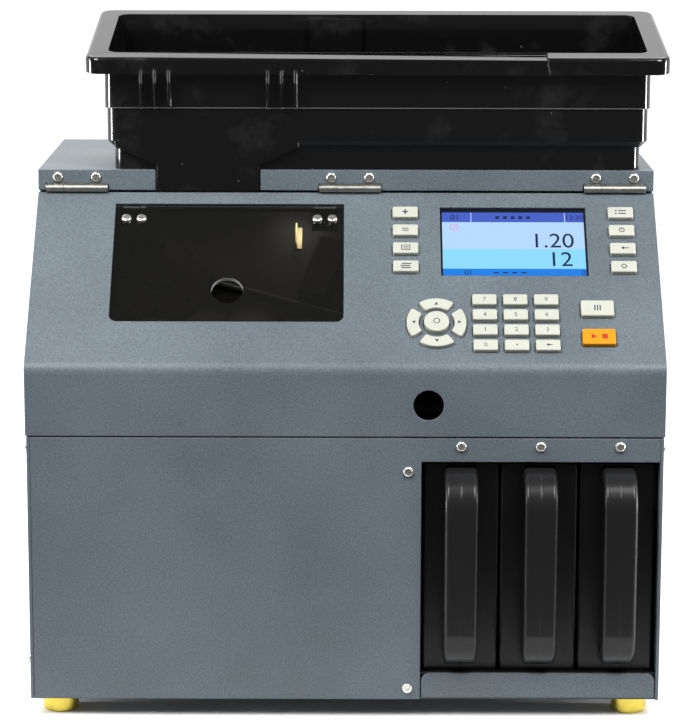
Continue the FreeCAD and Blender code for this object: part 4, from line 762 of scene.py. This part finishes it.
filter_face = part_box("rear_panel")[1][1] - PANEL_THICKNESS - FILTER_GAP
pads = [pleated_pad(left - FILTER_MARGIN, right + FILTER_MARGIN, VENT_LOW - FILTER_MARGIN,
                    VENT_HIGH + FILTER_MARGIN, filter_face) for left, right in VENTS]
piece("vent_filters", *together(*pads), filter_felt(), "cabinet", "matte_black_plastic")

# Sawn wall of the window's finger hole, just inside the hole and short of both faces of the sheet
HOLE_HEIGHT = 24.6 * MM
HOLE_RADIUS = 10.15
HOLE_STEPS = 72
BACK_INSET, FACE_INSET = 0.2 * MM, 0.1 * MM
window_low, window_high = slope_box("window")
window_x = (window_low[0] + window_high[0]) / 2


def hole_edge():
    """A short round wall: a circle's angle by the depth through the sheet, facing the hole's middle."""
    up = window_low[1] + HOLE_HEIGHT
    rounds = [on_slope(circle(HOLE_RADIUS, HOLE_STEPS), (window_x, up, depth), lift=0.0)
              for depth in (window_low[2] + BACK_INSET, window_high[2] - FACE_INSET)]
    return np.vstack(rounds), grid_faces(2, HOLE_STEPS, closed=True)[:, ::-1].tolist()


piece("window_hole_edge", *hole_edge(), sawn_acrylic(), "window", "smoked_acrylic")

# Bright line that coins wear along the coin rail, which shows through the window.
# The rail's start is from the window's lower edge; the line's ends are along the rail from there.
RAIL_START = (-8.6, 53.2)
RAIL_ANGLE = math.radians(18.5)
RAIL_DEPTH = 26.5 * MM
WEAR_ENDS = (3.0, 284.0)
WEAR_EDGES = (1.2, 0.05)
WEAR_STEPS = 90


def wear_strip():
    """A flat strip: the distance down the rail by the distance below the rail's upper edge."""
    down = np.array([math.cos(RAIL_ANGLE), -math.sin(RAIL_ANGLE)])
    below = np.array([-math.sin(RAIL_ANGLE), -math.cos(RAIL_ANGLE)])
    line = RAIL_START + np.outer(np.linspace(*WEAR_ENDS, WEAR_STEPS), down)
    flat = np.vstack([line + below * edge for edge in WEAR_EDGES])
    middle = (window_x, window_low[1], window_high[2] - RAIL_DEPTH)
    return on_slope(flat, middle), grid_faces(2, WEAR_STEPS).tolist()


piece("rail_wear_strip", *wear_strip(), aluminium, "cabinet", "aluminium")

# Floor: half its width, and where it starts and ends along Y
FLOOR_HALF, FLOOR_FRONT, FLOOR_BACK = 1.6, -0.3, 1.0


def floor_sheet(half, front, back):
    """A level rectangle under the object, as one face: white, with its bounced light held back as by a
    flag."""
    corners = [[-half, front, 0.0], [half, front, 0.0], [half, back, 0.0], [-half, back, 0.0]]
    mesh = bpy.data.meshes.new("floor")
    mesh.from_pydata(corners, [], [[0, 1, 2, 3]])
    made = bpy.data.objects.new("floor", mesh)
    bpy.context.scene.collection.objects.link(made)
    material, tree, shader = start("pale_floor", Roughness=0.7)
    place = add(tree, "ShaderNodeTexCoord").outputs["Object"]
    cloud = add(tree, "ShaderNodeTexNoise", {"Vector": place, "Scale": 1.5, "Detail": 1.0})
    tint = add(tree, "ShaderNodeMix",
               {SHARE: cloud.outputs[0], FIRST: linear("#f4f4f4"), SECOND: linear("#f8f8f8")},
               data_type="RGBA")
    path = add(tree, "ShaderNodeLightPath")
    held = add(tree, "ShaderNodeMix", {SHARE: path.outputs["Is Diffuse Ray"],
                                       FIRST: tint.outputs[MIXED], SECOND: linear("#7c7c7c")},
               data_type="RGBA")
    wire(tree, shader, Base_Color=held.outputs[MIXED])
    mesh.materials.append(material)


def studio():
    """Pale surroundings: white to the eye, bright behind and at the sides, dim in front and a little
    brighter straight overhead, so that gloss stays deep."""
    world = bpy.data.worlds.new("studio")
    bpy.context.scene.world = world
    world.use_nodes = True
    tree = world.node_tree
    ground = tree.nodes["Background"]
    place = add(tree, "ShaderNodeTexCoord").outputs["Generated"]
    parts = add(tree, "ShaderNodeSeparateXYZ", {0: place})
    behind = add(tree, "ShaderNodeMapRange",
                 {"Value": parts.outputs["Y"], "From Min": -0.45, "From Max": 0.25})
    low = add(tree, "ShaderNodeMapRange",
              {"Value": parts.outputs["Z"], "From Min": 0.85, "From Max": 0.5})
    round_it = add(tree, "ShaderNodeMath", {0: behind.outputs[0], 1: low.outputs[0]},
                   operation="MULTIPLY")
    glow = add(tree, "ShaderNodeMapRange", {"Value": round_it.outputs[0], "To Min": 0.12, "To Max": 1.2})
    overhead = add(tree, "ShaderNodeMapRange", {"Value": parts.outputs["Z"], "From Min": 0.86,
                                                "From Max": 0.97, "To Max": 0.1})
    sky = add(tree, "ShaderNodeMath", {0: glow.outputs[0], 1: overhead.outputs[0]}, operation="ADD")
    path = add(tree, "ShaderNodeLightPath")
    seen = add(tree, "ShaderNodeMath", {0: sky.outputs[0], 1: path.outputs["Is Camera Ray"]},
               operation="MAXIMUM")
    ground.inputs["Color"].default_value = linear("#ffffff")
    wire(tree, ground, Strength=seen.outputs[0])


# Lights by name: place, the point that each is turned to, width, height and watts
ON_TOP, ON_FRONT, ON_HANDLES = (0.0, 0.05, 0.35), (0.0, -0.1, 0.25), (0.1, -0.14, 0.18)
ON_SIDES = (0.0, 0.0, 0.4)
LIGHTS = {
    # Pale edges along the hopper's rim and the cover
    "back_top": ((0.0, 0.9, 1.7), ON_TOP, 2.0, 1.0, 26.0),
    # Main light on the slope and the front
    "front_left": ((-0.8, -1.1, 1.5), ON_FRONT, 0.7, 0.9, 33.0),
    "front_right": ((0.8, -1.1, 1.5), ON_FRONT, 0.7, 0.9, 30.0),
    # Bright lines down both sides of the handles
    "handle_left": ((-1.3, -0.13, 0.2), ON_HANDLES, 0.16, 0.4, 9.0),
    "handle_right": ((1.4, -0.13, 0.2), ON_HANDLES, 0.16, 0.4, 9.0),
    # A trace of light on the brass strip behind the window, which shades it
    "under_cover": ((-0.034, -0.0185, 0.319), (-0.034, -0.0183, 0.3), 0.03, 0.012, 0.009),
    # Upright lines on the hopper's corners
    "left_strip": ((-1.5, -0.1, 0.5), ON_SIDES, 0.2, 1.3, 8.0),
    "right_strip": ((1.5, -0.1, 0.5), ON_SIDES, 0.2, 1.3, 8.0),
}


def soft_box(name, place, aim, width, height, watts):
    """A rectangular soft light at a place, turned towards a point, and not itself seen, either directly
    or through the window."""
    light = bpy.data.lights.new(name, "AREA")
    light.shape = "RECTANGLE"
    light.size = width
    light.size_y = height
    light.energy = watts
    holder = bpy.data.objects.new(name, light)
    holder.location = place
    holder.rotation_euler = (Vector(aim) - Vector(place)).to_track_quat("-Z", "Y").to_euler()
    holder.visible_camera = False
    holder.visible_transmission = False
    bpy.context.scene.collection.objects.link(holder)


floor_sheet(FLOOR_HALF, FLOOR_FRONT, FLOOR_BACK)
studio()
for light_name, settings in LIGHTS.items():
    soft_box(light_name, *settings)

# Camera: place in metres, angles in radians, lens and sensor in millimetres
CAMERA_PLACE = (-0.0003, -1.878975, 0.57253)
CAMERA_PITCH, CAMERA_YAW, CAMERA_ROLL = 0.191623, -0.002954, 0.002021
CAMERA_LENS, CAMERA_SENSOR = 142.83, 36.0
CAMERA_NEAR = 0.05


def photo_camera():
    """A long lens in front of the machine and above it, tipped down, turned from the axes of the view."""
    level = Vector((math.cos(CAMERA_YAW), -math.sin(CAMERA_YAW), 0.0))
    ahead = Vector((math.sin(CAMERA_YAW) * math.cos(CAMERA_PITCH),
                    math.cos(CAMERA_YAW) * math.cos(CAMERA_PITCH), -math.sin(CAMERA_PITCH)))
    over = level.cross(ahead)
    right = math.cos(CAMERA_ROLL) * level + math.sin(CAMERA_ROLL) * over
    up = math.cos(CAMERA_ROLL) * over - math.sin(CAMERA_ROLL) * level
    data = bpy.data.cameras.new("photo_camera")
    data.lens = CAMERA_LENS
    data.sensor_width = CAMERA_SENSOR
    data.clip_start = CAMERA_NEAR
    camera = bpy.data.objects.new("photo_camera", data)
    turn = Matrix((right, up, -ahead)).transposed().to_4x4()
    camera.matrix_world = Matrix.Translation(CAMERA_PLACE) @ turn
    bpy.context.scene.collection.objects.link(camera)
    bpy.context.scene.camera = camera


photo_camera()
bpy.context.scene.view_settings.view_transform = "Standard"
